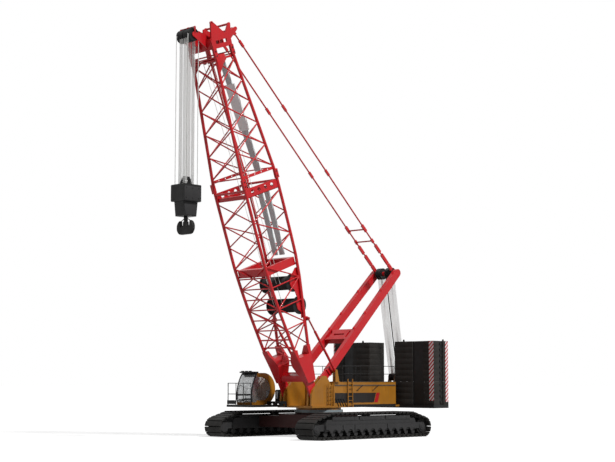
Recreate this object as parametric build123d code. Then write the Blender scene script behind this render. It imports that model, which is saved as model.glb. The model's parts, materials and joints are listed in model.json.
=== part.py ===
"""Lattice-boom crawler crane, modelled at its real size in millimetres.

Row frame: +X forward, +Y left, +Z up, the ground at Z = 0. Everything is first placed
about the slewing axis and then moved along X, so that the origin lies under the middle
of the overall length.
"""

import os
from math import asin, atan2, cos, degrees, hypot, pi, radians, sin

from build123d import *

# ---------------------------------------------------------------- driving dimensions
RUN_GAP = 0.3            # between faces that seat on each other
MOVE_GAP = 10.0          # between parts that move past each other
# sides of the many-sided rounds that turn in no bearing, by their size
FLATS_LARGE, FLATS, FLATS_SMALL = 40, 20, 12

# crawlers
TRACK_GAUGE = 8400.0     # between the middles of the two crawlers
SHOE_WIDTH = 1500.0
SHOE_COUNT = 58
SHOE_GAP = 90.0          # open slot between two shoes, along the loop
LUG_DEPTH = 70.0         # how deep that slot is
LOOP_THICKNESS = 200.0   # from the shoe's tip to the inside of the links
TUMBLER_X = 5060.0       # axle of a drive sprocket or idler, from the slewing axis
TUMBLER_RADIUS = 660.0   # over the shoes
TOP_RUN_Z = 1690.0
TOP_BEND_X = TUMBLER_X - 1260.0   # where the top run starts to slope down
TOP_BEND_RADIUS = 300.0
WHEEL_WIDTH = 800.0      # sprockets and idlers
FRAME_WIDTH = 1120.0     # crawler side frame
FRAME_HALF_LENGTH = TUMBLER_X - 710.0
FRAME_BOTTOM_Z = 540.0
FRAME_TOP_Z = 1250.0
CHEEK_THICKNESS = 90.0
ROLLER_COUNT = 13
ROLLER_PITCH = 2 * (FRAME_HALF_LENGTH - 150.0) / (ROLLER_COUNT - 1)
ROLLER_WIDTH = 860.0
PANEL_THICKNESS = 60.0   # outer panels of the side frame
PANEL_BOTTOM_Z = 430.0
PANEL_GAPS = (-4250.0, -1400.0, 1700.0, 2800.0)
CARRIER_HALF_LENGTH = 220.0

# carbody and slewing ring
CARBODY_HALF_LENGTH = 2050.0
CARBODY_HALF_WIDTH = 1650.0
CARBODY_BOTTOM_Z = 620.0
CARBODY_TOP_Z = 1480.0
CROSS_BEAM_X = 1450.0
CROSS_BEAM_HALF = 520.0
CROSS_BEAM_DROP = 120.0
RING_RADIUS = 1620.0
RING_BOTTOM_Z = 1600.0
RING_SPLIT_Z = 1780.0
UPPER_RING_RADIUS = 1500.0

# superstructure
DECK_BOTTOM_Z = 1930.0
DECK_THICKNESS = 120.0
DECK_HALF_WIDTH = 1600.0
DECK_FRONT_X = 2250.0
DECK_REAR_X = -6380.0
SPINE_HALF_WIDTH = 480.0
SPINE_TOP_Z = 2700.0
SPINE_REAR_X = -8260.0
HOUSE_TOP_Z = 3600.0
HOUSE_FRONT_X = 420.0
HOUSE_REAR_X = -6000.0
HOUSE_INNER_Y = 520.0
SHEET = 30.0             # sheet metal of the housings

# boom foot, mast foot and their fork plates
FOOT_X, FOOT_Z = 1786.0, 2802.0
MAST_X, MAST_Z = 950.0, 3750.0
FORK_Y = 1240.0          # middle of each fork
FORK_SLOT = 180.0
FORK_PLATE = 130.0
PIN_RADIUS = 100.0
PIN_GAP = 0.5
FOOT_INNER_Y = 1160.0    # inner face of the boom's feet
FOOT_EYE_RADIUS = 330.0
MAST_EYE_RADIUS = 270.0

# counterweights
WEIGHT_FRONT_X = -6410.0
WEIGHT_LENGTH = 1560.0
WEIGHT_INNER_Y = 1167.0
WEIGHT_OUTER_Y = 4647.0
WEIGHT_TOP_Z = 6387.0
TRAY_BOTTOM_Z = 1838.0
TRAY_TOP_Z = 2050.0
SLAB_COUNT = 11
WEIGHT_GROOVE = 90.0
RECESS_Y = (2760.0, 3720.0)      # in the front faces
GROOVE_X = (-7430.0, -6980.0)    # in the outer faces
LIFTING_LUGS = [(-6540.0, 1900.0), (-7860.0, 4300.0)]

# operator's cab
CAB_INNER_Y = -2600.0
CAB_OUTER_Y = -4080.0
CAB_FLOOR_Z = 2090.0
CAB_ROOF_Z = 4200.0
CAB_REAR_X = 1500.0
CAB_NOSE_X = 3680.0
CAB_WALL = 60.0
CAB_HOOP = 200.0         # width of the frame round a side window
CAB_BROW_X = 3170.0      # where the roof ends and the front panes start
CAB_SILL_Z = 2260.0
CAB_BAR = (2700.0, 2800.0)   # cross bar between the two front panes
CAB_DOOR_X = (2150.0, 3050.0)
PILLAR = 70.0
PANE = 16.0
PLATFORM_BOTTOM_Z = 1960.0
PLATFORM_FRONT_X = 4500.0
PLATFORM_REAR_X = 1100.0
PLATFORM_OUTER_Y = -4900.0
PLATFORM_STEP = (3800.0, -4100.0)   # inner corner of its outline
DOOR_TRAVEL = 700.0

# boom, measured along its line from the foot pin and square to it, + to the rear
BOOM_ANGLE = 69.7
BOOM_RAISE, BOOM_LOWER = 15.3, 39.7   # to 85 and to 30 degrees above level
BOOM_CHORD_Y = 1395.0
CHORD_RADIUS = 100.0
LACE_RADIUS = 42.0
CHORD_FLAT = 22.5        # turns a chord's flats square to the faces
CHORD_SEAT = CHORD_RADIUS * cos(radians(CHORD_FLAT)) + RUN_GAP
LACE_HALF = LACE_RADIUS * cos(radians(30)) + RUN_GAP
JOINT_AT = 14500.0       # pinned joint between base and top section
COLLAR_LENGTH = 300.0    # pinned connectors at the chord ends
COLLAR_HALF = 130.0
HEAD_AT = 22800.0        # where the top section meets the head
HEAD_HALF_WIDTH = 1080.0
HEAD_HALF_DEPTH = 750.0
# rows of the base section's lacing: along the boom, front offset, rear offset
BASE_ROWS = [
    (3250, -835, 490),
    (3300, -840, 500),
    (4750, -1045, 755),
    (6200, -1245, 1020),
    (7650, -1390, 1285),
    (9100, -1495, 1440),
    (10550, -1500, 1480),
    (12000, -1500, 1495),
    (13450, -1500, 1500),
    (JOINT_AT, -1500, 1500),
]
FOOT_END = BASE_ROWS[0][0]
FRONT_BAYS = [3300, 4750, 6200, 7650, 9100, 10550, 12000, 13450]
REAR_BAYS = [(3300, 4750), (9100, 10550, 12000, 13450)]   # open between them for the winches
BAY = 1450.0
TOP_START = JOINT_AT + 550.0
TOP_BAYS = 5
TOP_TIES = (TOP_START - 130, HEAD_AT - 380, HEAD_AT - 220, HEAD_AT - 60)
# plated cross frames: place along the boom, thickness, depth of the plates
FRAME_ROWS = [
    (8450, 520, 300),
    (13560, 260, 160),
]
# perforated panels on the side faces beside the joint: from, to
SIDE_PANELS = [(13620, 14180), (14810, 15000)]
TAB = 25.0
HEAVY_TIE_AT, HEAVY_TIE_RADIUS = 14080.0, 80.0
# foot plan: along the boom, inner edge's y
FOOT_PLAN = [(700, 1160), (2100, 640), (2500, 700), (3250 - RUN_GAP, 1180)]
FOOT_NOTCH_AT = 2700.0
FOOT_BEAM = (1000.0, 1400.0)
WINCHES = [(5850, 800), (7400, 700)]
WINCH_CHEEK = (5000.0, 8250.0)
WINCH_CHEEK_Y = BOOM_CHORD_Y - CHORD_SEAT
WINCH_CHEEK_THICKNESS = 52.0
WINCH_FLANGE = 600.0
STRIP_THICKNESS = 90.0
NAME_BOARD = (17600.0, 20700.0)
HEAD_BODY_AT = 23100.0   # its plated body starts above the corner connectors
HEAD_TOP_AT = 24000.0
PENDANT_PIN = (24040.0, 1500.0)
PENDANT_PIN_RADIUS = 60.0
JIB_BORE = (24720.0, -410.0)
JIB_BORE_RADIUS = 55.0
# ears of each side of the head: middle of the round end, its radius, two root points
HEAD_EARS = [
    (JIB_BORE, 110.0, [(23650.0, -820.0), (23900.0, 500.0)]),
    ((24420.0, 1030.0), 100.0, [(23900.0, 500.0), (23950.0, 1000.0)]),
    (PENDANT_PIN, 120.0, [(24000.0, 800.0), (23450.0, 780.0)]),
]

# hoist
HEAD_SHEAVE_AT, HEAD_SHEAVE_OUT = 24300.0, -1630.0
HEAD_SHEAVE_RADIUS = 420.0
HEAD_SHEAVE_HALF = 600.0
HEAD_SHAFT_RADIUS = 70.0
ROPE_BOTTOM_Z = 15650.0
BLOCK_WAIST_Z = 14600.0
BLOCK_BOTTOM_Z = 13700.0
BLOCK_CROWN_Z = 16180.0
BLOCK_HALF_WIDTH = 600.0
BLOCK_SIDE = 280.0       # from the ropes to the block's front and rear
HOOK_BOTTOM_Z = 12590.0
HORN_Y, HORN_RADIUS = 430.0, 440.0
THROAT_Y, THROAT_RADIUS = 340.0, 150.0
THROAT_HEIGHT, THROAT_FLARE = 610.0, 100.0   # seat above the hook's bottom, outward lean of the mouth
SHANK_RADIUS = 140.0
LATCH_PIN_Y, LATCH_TIP_Y = 90.0, 640.0
HOOK_HALF_THICKNESS = 120.0
ROPE_RADIUS = 16.0
ROPE_ROWS = (-560, -290, -200, -110, 110, 200, 290, 560)

# mast
MAST_TOP_X, MAST_TOP_Z = -7000.0, 11350.0
MAST_TOP_Y = 1000.0
MAST_DEPTH = 540.0
MAST_WIDTH = 320.0
MAST_BEAM_AT = 4240.0
MAST_LUGS = (4713.0, 6290.0, 8635.0)   # small lugs along the front of each leg
MAST_SHEAVE_RADIUS = 400.0
MAST_PACK_Y = 640.0

# pendants and luffing ropes
PENDANT_Y = 760.0
PENDANT_WIDTH = 110.0
PENDANT_OPEN = 340.0     # open pivot, from the mast head shaft to the pendant's end
PENDANT_RADIUS = 55.0
PENDANT_LINKS = (900, 6200, 11800)
# link plates near the mast head: nearest and farthest from its shaft, depth
PENDANT_PLATES = [(900, 1800, 240), (2000, 2700, 220), (2950, 3250, 180), (3980, 4570, 200)]
PENDANT_SPREADERS = (3090, 4170)
LUFF_ROPE_Y = 460.0
ANCHOR_X, ANCHOR_Z = -8050.0, 3950.0
ANCHOR_SHEAVE_RADIUS = 260.0

# backstops
STOP_LOW = (100.0, 4320.0)
STOP_HIGH = (2650.0, 7700.0)
STOP_Y = 1610.0
STOP_BARREL = 85.0
STOP_ROD = 55.0
STOP_PIN = 40.0
STOP_TUBE = 3200.0
STOP_ROD_START = 1000.0

RAIL_SIZE = 45.0
RAIL_BAYS = 4
CAB_RAIL_Z = 3520.0
DECK_RAIL_Z = 4670.0

os.makedirs("parts", exist_ok=True)
NODES = {}


# ---------------------------------------------------------------- small shape tools
def block(x0, x1, y0, y1, z0, z1):
    """Box between two corners."""
    return Solid.make_box(x1 - x0, y1 - y0, z1 - z0, Plane((x0, y0, z0)))


def plate_y(outline, y0, y1):
    """Plate of an (x, z) outline, between two y."""
    face = Face(Wire.make_polygon([(x, y0, z) for x, z in outline], close=True))
    return Solid.extrude(face, Vector(0, y1 - y0, 0))


def plate_x(outline, x0, x1):
    """Plate of a (y, z) outline, between two x."""
    face = Face(Wire.make_polygon([(x0, y, z) for y, z in outline], close=True))
    return Solid.extrude(face, Vector(x1 - x0, 0, 0))


def tube(start, end, radius, flats=0):
    """Round bar from start to end, or a many-sided one."""
    if flats:
        return bar(start, end, 2 * radius, flats=flats)
    start, end = Vector(*start), Vector(*end)
    return Solid.make_cylinder(radius, (end - start).length, Plane(start, z_dir=end - start))


def disc_y(x, z, radius, y0, y1, flats=0):
    """Round disc or shaft along Y, or a many-sided one."""
    return tube((x, y0, z), (x, y1, z), radius, flats)


def bar(start, end, width, depth=None, flats=4, turn=0):
    """Straight member of square, rectangular (width along Y) or many-sided section."""
    start, end = Vector(*start), Vector(*end)
    along = end - start
    level = Vector(0, 1, 0) if hypot(along.X, along.Z) > 1 else Vector(0, 0, 1)
    plane = Plane(start, x_dir=level.cross(along), z_dir=along)
    if flats == 4:
        sketch = Rectangle(depth or width, width)
    else:
        sketch = RegularPolygon(width / 2, flats, rotation=turn)
    return Solid.extrude((plane * sketch).face(), along)


def joined(pieces):
    """One solid of pieces that run into each other."""
    pieces = list(pieces)
    return pieces[0].fuse(*pieces[1:]) if len(pieces) > 1 else pieces[0]


def cut(solid, *tools):
    """Solid less its tools."""
    return solid.cut(*tools)


def common(solid, tool):
    """What two solids share, as one solid."""
    shared = solid.intersect(tool)
    return shared.solids()[0] if hasattr(shared, "solids") else shared[0]


def both_sides(make):
    """Left and right copies of what make(side) gives."""
    return [make(side) for side in (1, -1)]


def between(side, y0, y1):
    """Low and high y of a span given on the left side."""
    return (y0, y1) if side > 0 else (-y1, -y0)


def keep(name, *solids):
    """Store the solids of one node."""
    flat = []
    for solid in solids:
        flat += solid.solids()
    NODES[name] = flat


# ---------------------------------------------------------------- crawler loop
def loop_runs(circles):
    """Straight runs and arcs of a loop round circles (x, z, radius), anticlockwise."""
    runs, normals = [], []
    count = len(circles)
    for i in range(count):
        (x0, z0, r0), (x1, z1, r1) = circles[i], circles[(i + 1) % count]
        distance = hypot(x1 - x0, z1 - z0)
        normals.append(atan2(z1 - z0, x1 - x0) - pi / 2 + asin((r0 - r1) / distance))
    for i in range(count):
        x, z, radius = circles[i]
        enter, leave = normals[i - 1], normals[i]
        turn = (leave - enter) % (2 * pi)
        runs.append(("arc", (x, z, radius), enter, turn))
        nx, nz, nr = circles[(i + 1) % count]
        a = (x + radius * cos(leave), z + radius * sin(leave))
        b = (nx + nr * cos(leave), nz + nr * sin(leave))
        runs.append(("line", a, b, leave))
    return runs


def run_length(run):
    """Length of one stretch of a loop."""
    if run[0] == "arc":
        return run[1][2] * run[3]
    return hypot(run[2][0] - run[1][0], run[2][1] - run[1][1])


def point_on(runs, at, inset):
    """Point of the loop at a distance along it, moved inwards by inset."""
    at %= sum(run_length(run) for run in runs)
    for run in runs:
        length = run_length(run)
        if at <= length:
            break
        at -= length
    if run[0] == "arc":
        (x, z, radius), start = run[1], run[2]
        angle = start + at / radius
        return (x + (radius - inset) * cos(angle), z + (radius - inset) * sin(angle))
    (x0, z0), (x1, z1), normal = run[1], run[2], run[3]
    share = at / length
    x, z = x0 + (x1 - x0) * share, z0 + (z1 - z0) * share
    return (x - inset * cos(normal), z - inset * sin(normal))


def loop_wire(circles, y):
    """Smooth closed wire round circles."""
    edges = []
    for run in loop_runs(circles):
        if run[0] == "arc":
            (x, z, radius), start, turn = run[1], run[2], run[3]
            p = [
                Vector(x + radius * cos(a), y, z + radius * sin(a))
                for a in (start, start + turn / 2, start + turn)
            ]
            edges.append(Edge.make_three_point_arc(*p))
        else:
            edges.append(Edge.make_line(Vector(run[1][0], y, run[1][1]),
                                        Vector(run[2][0], y, run[2][1])))
    return Wire(edges)


def loop_circles(inset):
    """Circles that the crawler loop runs round, less an inset."""
    tumbler = TUMBLER_RADIUS - inset
    bend = TOP_BEND_RADIUS - inset
    bend_z = TOP_RUN_Z - TOP_BEND_RADIUS
    return [
        (-TUMBLER_X, TUMBLER_RADIUS, tumbler),
        (TUMBLER_X, TUMBLER_RADIUS, tumbler),
        (TOP_BEND_X, bend_z, bend),
        (-TOP_BEND_X, bend_z, bend),
    ]


def crawler(side):
    """Closed loop of shoes."""
    y0, y1 = between(side, (TRACK_GAUGE - SHOE_WIDTH) / 2, (TRACK_GAUGE + SHOE_WIDTH) / 2)
    runs = loop_runs(loop_circles(0))
    pitch = sum(run_length(run) for run in runs) / SHOE_COUNT
    outline = []
    for shoe in range(SHOE_COUNT):
        first = shoe * pitch + SHOE_GAP / 2
        last = (shoe + 1) * pitch - SHOE_GAP / 2
        steps = [(first, LUG_DEPTH), (first, 0), (last, 0), (last, LUG_DEPTH)]
        outline += [point_on(runs, at, inset) for at, inset in steps]
    outer = Wire.make_polygon([(x, y0, z) for x, z in outline], close=True)
    inner = loop_wire(loop_circles(LOOP_THICKNESS), y0)
    return Solid.extrude(Face(outer, [inner]), Vector(0, y1 - y0, 0))


# ---------------------------------------------------------------- undercarriage
def side_frame(side):
    """Crawler side frame with its rollers, skids and wheel cheeks."""
    mid = TRACK_GAUGE / 2
    half = FRAME_WIDTH / 2
    y0, y1 = between(side, mid - half, mid + half)
    chamfer = 160.0
    body = plate_y(
        [
            (-FRAME_HALF_LENGTH, FRAME_BOTTOM_Z),
            (FRAME_HALF_LENGTH, FRAME_BOTTOM_Z),
            (FRAME_HALF_LENGTH, FRAME_TOP_Z - 2 * chamfer),
            (FRAME_HALF_LENGTH - chamfer, FRAME_TOP_Z),
            (-FRAME_HALF_LENGTH + chamfer, FRAME_TOP_Z),
            (-FRAME_HALF_LENGTH, FRAME_TOP_Z - 2 * chamfer),
        ],
        y0, y1,
    )
    pieces = [body]
    inner_z = LOOP_THICKNESS
    radius = (FRAME_BOTTOM_Z + 20 - inner_z - RUN_GAP) / 2
    ry0, ry1 = between(side, mid - ROLLER_WIDTH / 2, mid + ROLLER_WIDTH / 2)
    for i in range(ROLLER_COUNT):
        x = (i - (ROLLER_COUNT - 1) / 2) * ROLLER_PITCH
        pieces.append(disc_y(x, inner_z + RUN_GAP + radius, radius, ry0, ry1, FLATS_SMALL))
    skid_top = TOP_RUN_Z - LOOP_THICKNESS - RUN_GAP
    for x in (-TOP_BEND_X + 400, 0, TOP_BEND_X - 400):
        pieces.append(block(x - CARRIER_HALF_LENGTH, x + CARRIER_HALF_LENGTH,
                            *between(side, mid - 200, mid + 200), FRAME_TOP_Z - 10, skid_top))
    cheek_reach = 330.0
    for x in (-TUMBLER_X, TUMBLER_X):
        inward = FRAME_HALF_LENGTH - 50 if x > 0 else -FRAME_HALF_LENGTH + 50
        for inner in (mid - WHEEL_WIDTH / 2 - CHEEK_THICKNESS, mid + WHEEL_WIDTH / 2):
            span = between(side, inner, inner + CHEEK_THICKNESS)
            pieces.append(disc_y(x, TUMBLER_RADIUS, cheek_reach, *span, FLATS))
            pieces.append(block(min(x, inward), max(x, inward), *span,
                                TUMBLER_RADIUS - 0.3 * cheek_reach,
                                TUMBLER_RADIUS + 0.9 * cheek_reach))
    return joined(pieces + outer_panels(side))


def outer_panels(side):
    """Plates on the frame's outer face, their lower edges cut out over the rollers."""
    outer = (TRACK_GAUGE + FRAME_WIDTH) / 2
    span = between(side, outer - 5, outer + PANEL_THICKNESS)
    stops = [-FRAME_HALF_LENGTH, *PANEL_GAPS, FRAME_HALF_LENGTH]
    plates = []
    for low, high in zip(stops, stops[1:]):
        if high - low > ROLLER_PITCH:
            plates.append(block(low + 30, high - 30, *span, PANEL_BOTTOM_Z, FRAME_TOP_Z - 330))
    middles = [(i - (ROLLER_COUNT - 1) / 2) * ROLLER_PITCH for i in range(ROLLER_COUNT)]
    arches = [disc_y(x, PANEL_BOTTOM_Z - 40, 0.38 * ROLLER_PITCH, span[0] - 5, span[1] + 5, FLATS_SMALL)
              for x in middles]
    return [cut(plate, *arches) for plate in plates]


def crawler_wheel(x, side):
    """Drive sprocket or idler between the cheeks."""
    mid = TRACK_GAUGE / 2
    half = WHEEL_WIDTH / 2 - RUN_GAP
    radius = TUMBLER_RADIUS - LOOP_THICKNESS - RUN_GAP
    return disc_y(x, TUMBLER_RADIUS, radius, *between(side, mid - half, mid + half), FLATS)


def carbody():
    """Centre box with four arms to the side frames."""
    pieces = [
        block(-CARBODY_HALF_LENGTH, CARBODY_HALF_LENGTH,
              -CARBODY_HALF_WIDTH, CARBODY_HALF_WIDTH, CARBODY_BOTTOM_Z, CARBODY_TOP_Z),
        tube((0, 0, CARBODY_TOP_Z), (0, 0, RING_BOTTOM_Z), RING_RADIUS - 60, FLATS_LARGE),
    ]
    reach = (TRACK_GAUGE - FRAME_WIDTH) / 2
    for x in (-CROSS_BEAM_X, CROSS_BEAM_X):
        pieces.append(block(x - CROSS_BEAM_HALF, x + CROSS_BEAM_HALF, -reach, reach,
                            CARBODY_BOTTOM_Z, CARBODY_TOP_Z - CROSS_BEAM_DROP))
    return joined(pieces)


def build_undercarriage():
    keep("crawler_loop_left", crawler(1))
    keep("crawler_loop_right", crawler(-1))
    keep("crawler_frame_left", side_frame(1))
    keep("crawler_frame_right", side_frame(-1))
    keep("drive_sprockets", *both_sides(lambda s: crawler_wheel(-TUMBLER_X, s)))
    keep("track_idlers", *both_sides(lambda s: crawler_wheel(TUMBLER_X, s)))
    keep("carbody", carbody())
    keep("slewing_ring", tube((0, 0, RING_BOTTOM_Z), (0, 0, RING_SPLIT_Z), RING_RADIUS, FLATS_LARGE))


# ---------------------------------------------------------------- superstructure
def fork_plates(side):
    """Two upright plates that hold the boom foot and the mast foot between them."""
    outline = [
        (250, DECK_BOTTOM_Z + DECK_THICKNESS - 10),
        (FOOT_X + 420, DECK_BOTTOM_Z + DECK_THICKNESS - 10),
        (FOOT_X + 380, FOOT_Z),
        (FOOT_X + 250, FOOT_Z + 290),
        (MAST_X + 330, MAST_Z + 60),
        (MAST_X + 150, MAST_Z + 250),
        (MAST_X - 150, MAST_Z + 250),
        (MAST_X - 330, MAST_Z + 60),
        (250, HOUSE_TOP_Z - 300),
    ]
    half = FORK_SLOT / 2
    pieces = []
    for inner in (FORK_Y - half - FORK_PLATE, FORK_Y + half):
        pieces.append(plate_y(outline, *between(side, inner, inner + FORK_PLATE)))
    across = between(side, FORK_Y - half - FORK_PLATE, FORK_Y + half + FORK_PLATE)
    pieces.append(disc_y(FOOT_X, FOOT_Z, PIN_RADIUS, *across))
    pieces.append(disc_y(MAST_X, MAST_Z, PIN_RADIUS, *across))
    return pieces


def build_deck():
    top = DECK_BOTTOM_Z + DECK_THICKNESS
    pieces = [
        block(DECK_REAR_X, DECK_FRONT_X, -DECK_HALF_WIDTH, DECK_HALF_WIDTH, DECK_BOTTOM_Z, top),
        tube((0, 0, RING_SPLIT_Z + RUN_GAP), (0, 0, DECK_BOTTOM_Z + 10), UPPER_RING_RADIUS, FLATS_LARGE),
        block(SPINE_REAR_X, HOUSE_FRONT_X, -SPINE_HALF_WIDTH, SPINE_HALF_WIDTH,
              TRAY_TOP_Z + RUN_GAP, SPINE_TOP_Z),
        block(DECK_REAR_X, HOUSE_FRONT_X, -SPINE_HALF_WIDTH, SPINE_HALF_WIDTH, top - 10, SPINE_TOP_Z),
    ]
    for side in (1, -1):
        pieces += fork_plates(side)
    keep("slewing_deck", joined(pieces))


def house(side):
    """Sheet-metal housing beside the spine, open underneath."""
    low = DECK_BOTTOM_Z + DECK_THICKNESS
    y0, y1 = between(side, HOUSE_INNER_Y, DECK_HALF_WIDTH)
    outside = block(HOUSE_REAR_X, HOUSE_FRONT_X - 200, y0, y1, low, HOUSE_TOP_Z)
    inside = block(HOUSE_REAR_X + SHEET, HOUSE_FRONT_X - 200 - SHEET, y0 + SHEET, y1 - SHEET,
                   low - SHEET, HOUSE_TOP_Z - SHEET)
    return cut(outside, inside)


def stop_bracket(side):
    """Stand on the housing for a backstop's lower pin."""
    x, z = STOP_LOW
    inner = STOP_Y - STOP_BARREL - MOVE_GAP
    outer = STOP_Y + STOP_BARREL + MOVE_GAP
    base = HOUSE_TOP_Z + RUN_GAP
    outline = [(x - 260, base), (x + 100, base), (x + 100, z + 60), (x + 60, z + 100),
               (x - 60, z + 100), (x - 100, z + 60)]
    pieces = [plate_y(outline, *between(side, y, y + 35)) for y in (inner - 35, outer)]
    pieces.append(disc_y(x, z, STOP_PIN, *between(side, inner - 35, outer + 35)))
    pieces.append(block(x - 300, x + 100, *between(side, inner - 140, outer + 35),
                        base, HOUSE_TOP_Z + 40))
    return joined(pieces)


def weight_stack(side):
    """Slabs of one counterweight stack, with the recess in front and the guide groove outside."""
    front, rear = WEIGHT_FRONT_X, WEIGHT_FRONT_X - WEIGHT_LENGTH
    deep = WEIGHT_GROOVE
    plan = [
        (front, WEIGHT_INNER_Y), (front, RECESS_Y[0]), (front - deep, RECESS_Y[0]),
        (front - deep, RECESS_Y[1]), (front, RECESS_Y[1]), (front, WEIGHT_OUTER_Y),
        (GROOVE_X[1], WEIGHT_OUTER_Y), (GROOVE_X[1], WEIGHT_OUTER_Y - deep),
        (GROOVE_X[0], WEIGHT_OUTER_Y - deep), (GROOVE_X[0], WEIGHT_OUTER_Y),
        (rear, WEIGHT_OUTER_Y), (rear, WEIGHT_INNER_Y),
    ]
    bottom = TRAY_TOP_Z + RUN_GAP
    height = (WEIGHT_TOP_Z - bottom) / SLAB_COUNT
    lug_x = (GROOVE_X[0] + GROOVE_X[1]) / 2
    slabs = []
    for i in range(SLAB_COUNT):
        z = bottom + i * height
        thick = height - (RUN_GAP if i < SLAB_COUNT - 1 else 0)
        face = Face(Wire.make_polygon([(x, side * y, z) for x, y in plan], close=True))
        lug = block(lug_x - 70, lug_x + 70, *between(side, WEIGHT_OUTER_Y - deep - 5,
                                                     WEIGHT_OUTER_Y - 15), z + 130, z + 250)
        pieces = [Solid.extrude(face, Vector(0, 0, thick)), lug]
        if i == SLAB_COUNT - 1:
            for x, y in LIFTING_LUGS:
                pieces.append(block(x - 90, x + 90, *between(side, y - 20, y + 20),
                                    WEIGHT_TOP_Z - 5, WEIGHT_TOP_Z + 130))
        slabs.append(joined(pieces))
    return slabs


def build_superstructure():
    build_deck()
    keep("machinery_housings", *both_sides(house))
    keep("backstop_brackets", *both_sides(stop_bracket))
    rear = WEIGHT_FRONT_X - WEIGHT_LENGTH
    keep("counterweight_tray", block(rear, DECK_REAR_X, -WEIGHT_OUTER_Y, WEIGHT_OUTER_Y,
                                     TRAY_BOTTOM_Z, TRAY_TOP_Z))
    keep("counterweight_left", *weight_stack(1))
    keep("counterweight_right", *weight_stack(-1))
    keep("luffing_winch", *luffing_winch())
    keep("luffing_anchor", luffing_anchor())
    keep("anchor_sheaves", *anchor_sheaves())
    build_cab()


def luffing_winch():
    """Rope drum on the spine that winds the luffing ropes."""
    x, radius = -4300.0, 330.0
    z = SPINE_TOP_Z + RUN_GAP + radius + 60
    half = SPINE_HALF_WIDTH - 20
    pieces = [disc_y(x, z, radius - 80, -half, half, FLATS)]
    for y in (-half, half - 40):
        pieces.append(disc_y(x, z, radius, y, y + 40, FLATS))
        pieces.append(block(x - 200, x + 200, y, y + 40, SPINE_TOP_Z + RUN_GAP, z))
    return [joined(pieces)]


def luffing_anchor():
    """Rear post with the fixed sheaves of the luffing ropes."""
    pieces = [
        block(ANCHOR_X - 110, ANCHOR_X + 330, -SPINE_HALF_WIDTH, SPINE_HALF_WIDTH,
              SPINE_TOP_Z + RUN_GAP, ANCHOR_Z - 420),
    ]
    for y in (-700, -200, 140, 640):
        pieces.append(plate_y([(ANCHOR_X - 110, ANCHOR_Z - 700), (ANCHOR_X + 330, ANCHOR_Z - 700),
                               (ANCHOR_X + 130, ANCHOR_Z + 130), (ANCHOR_X - 110, ANCHOR_Z + 130)],
                              y, y + 60))
    pieces.append(disc_y(ANCHOR_X, ANCHOR_Z, 60, -700, 700, FLATS_SMALL))
    pieces.append(block(ANCHOR_X - 110, ANCHOR_X + 330, -700, 700, ANCHOR_Z - 700, ANCHOR_Z - 420))
    return joined(pieces)


def anchor_sheaves():
    """Two packs of fixed sheaves on the rear post's pin."""
    packs = []
    for y0, y1 in ((-640 + RUN_GAP, -200 - RUN_GAP), (200 + RUN_GAP, 640 - RUN_GAP)):
        pack = disc_y(ANCHOR_X, ANCHOR_Z, ANCHOR_SHEAVE_RADIUS, y0, y1, FLATS)
        bore = disc_y(ANCHOR_X, ANCHOR_Z, 60 + RUN_GAP, y0 - 5, y1 + 5, FLATS_SMALL)
        packs.append(cut(pack, bore))
    return packs


# ---------------------------------------------------------------- cab
def cab_outline(inset):
    """Side view of the cab as a wire in (x, z), at y = 0."""
    floor, roof = CAB_FLOOR_Z + inset, CAB_ROOF_Z - inset
    rear, nose = CAB_REAR_X + inset, CAB_NOSE_X - inset
    mid_z = (CAB_FLOOR_Z + CAB_ROOF_Z) / 2
    back_x = rear + (CAB_ROOF_Z - CAB_FLOOR_Z) / 2 - inset
    foot_x = nose - 70
    edges = [
        Edge.make_three_point_arc(Vector(back_x, 0, roof), Vector(rear, 0, mid_z),
                                  Vector(back_x, 0, floor)),
        Edge.make_line(Vector(back_x, 0, floor), Vector(foot_x, 0, floor)),
        Edge.make_three_point_arc(Vector(foot_x, 0, floor), Vector(nose, 0, mid_z - 350),
                                  Vector(CAB_BROW_X, 0, roof)),
        Edge.make_line(Vector(CAB_BROW_X, 0, roof), Vector(back_x, 0, roof)),
    ]
    return Wire(edges)


def cab_prism(inset, y0, y1):
    """Solid of the cab's side view, between two y."""
    return Solid.extrude(Face(cab_outline(inset)).moved(Location((0, y0, 0))), Vector(0, y1 - y0, 0))


def cab_front(y0, y1, low=CAB_SILL_Z, high=CAB_ROOF_Z + 100, from_x=CAB_BROW_X):
    """Box round the open front of the cab."""
    return block(from_x, CAB_NOSE_X + 100, y0, y1, low, high)


def seams(x, z, angles, y0, y1):
    """Thin slots that part a skin into panels, fanned out from a point."""
    reach = 2500.0
    return [
        block(0, reach, y0 - 10, y1 + 10, -RUN_GAP / 2, RUN_GAP / 2)
        .moved(Location((x, 0, z), (0, -angle, 0)))
        for angle in angles
    ]


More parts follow.
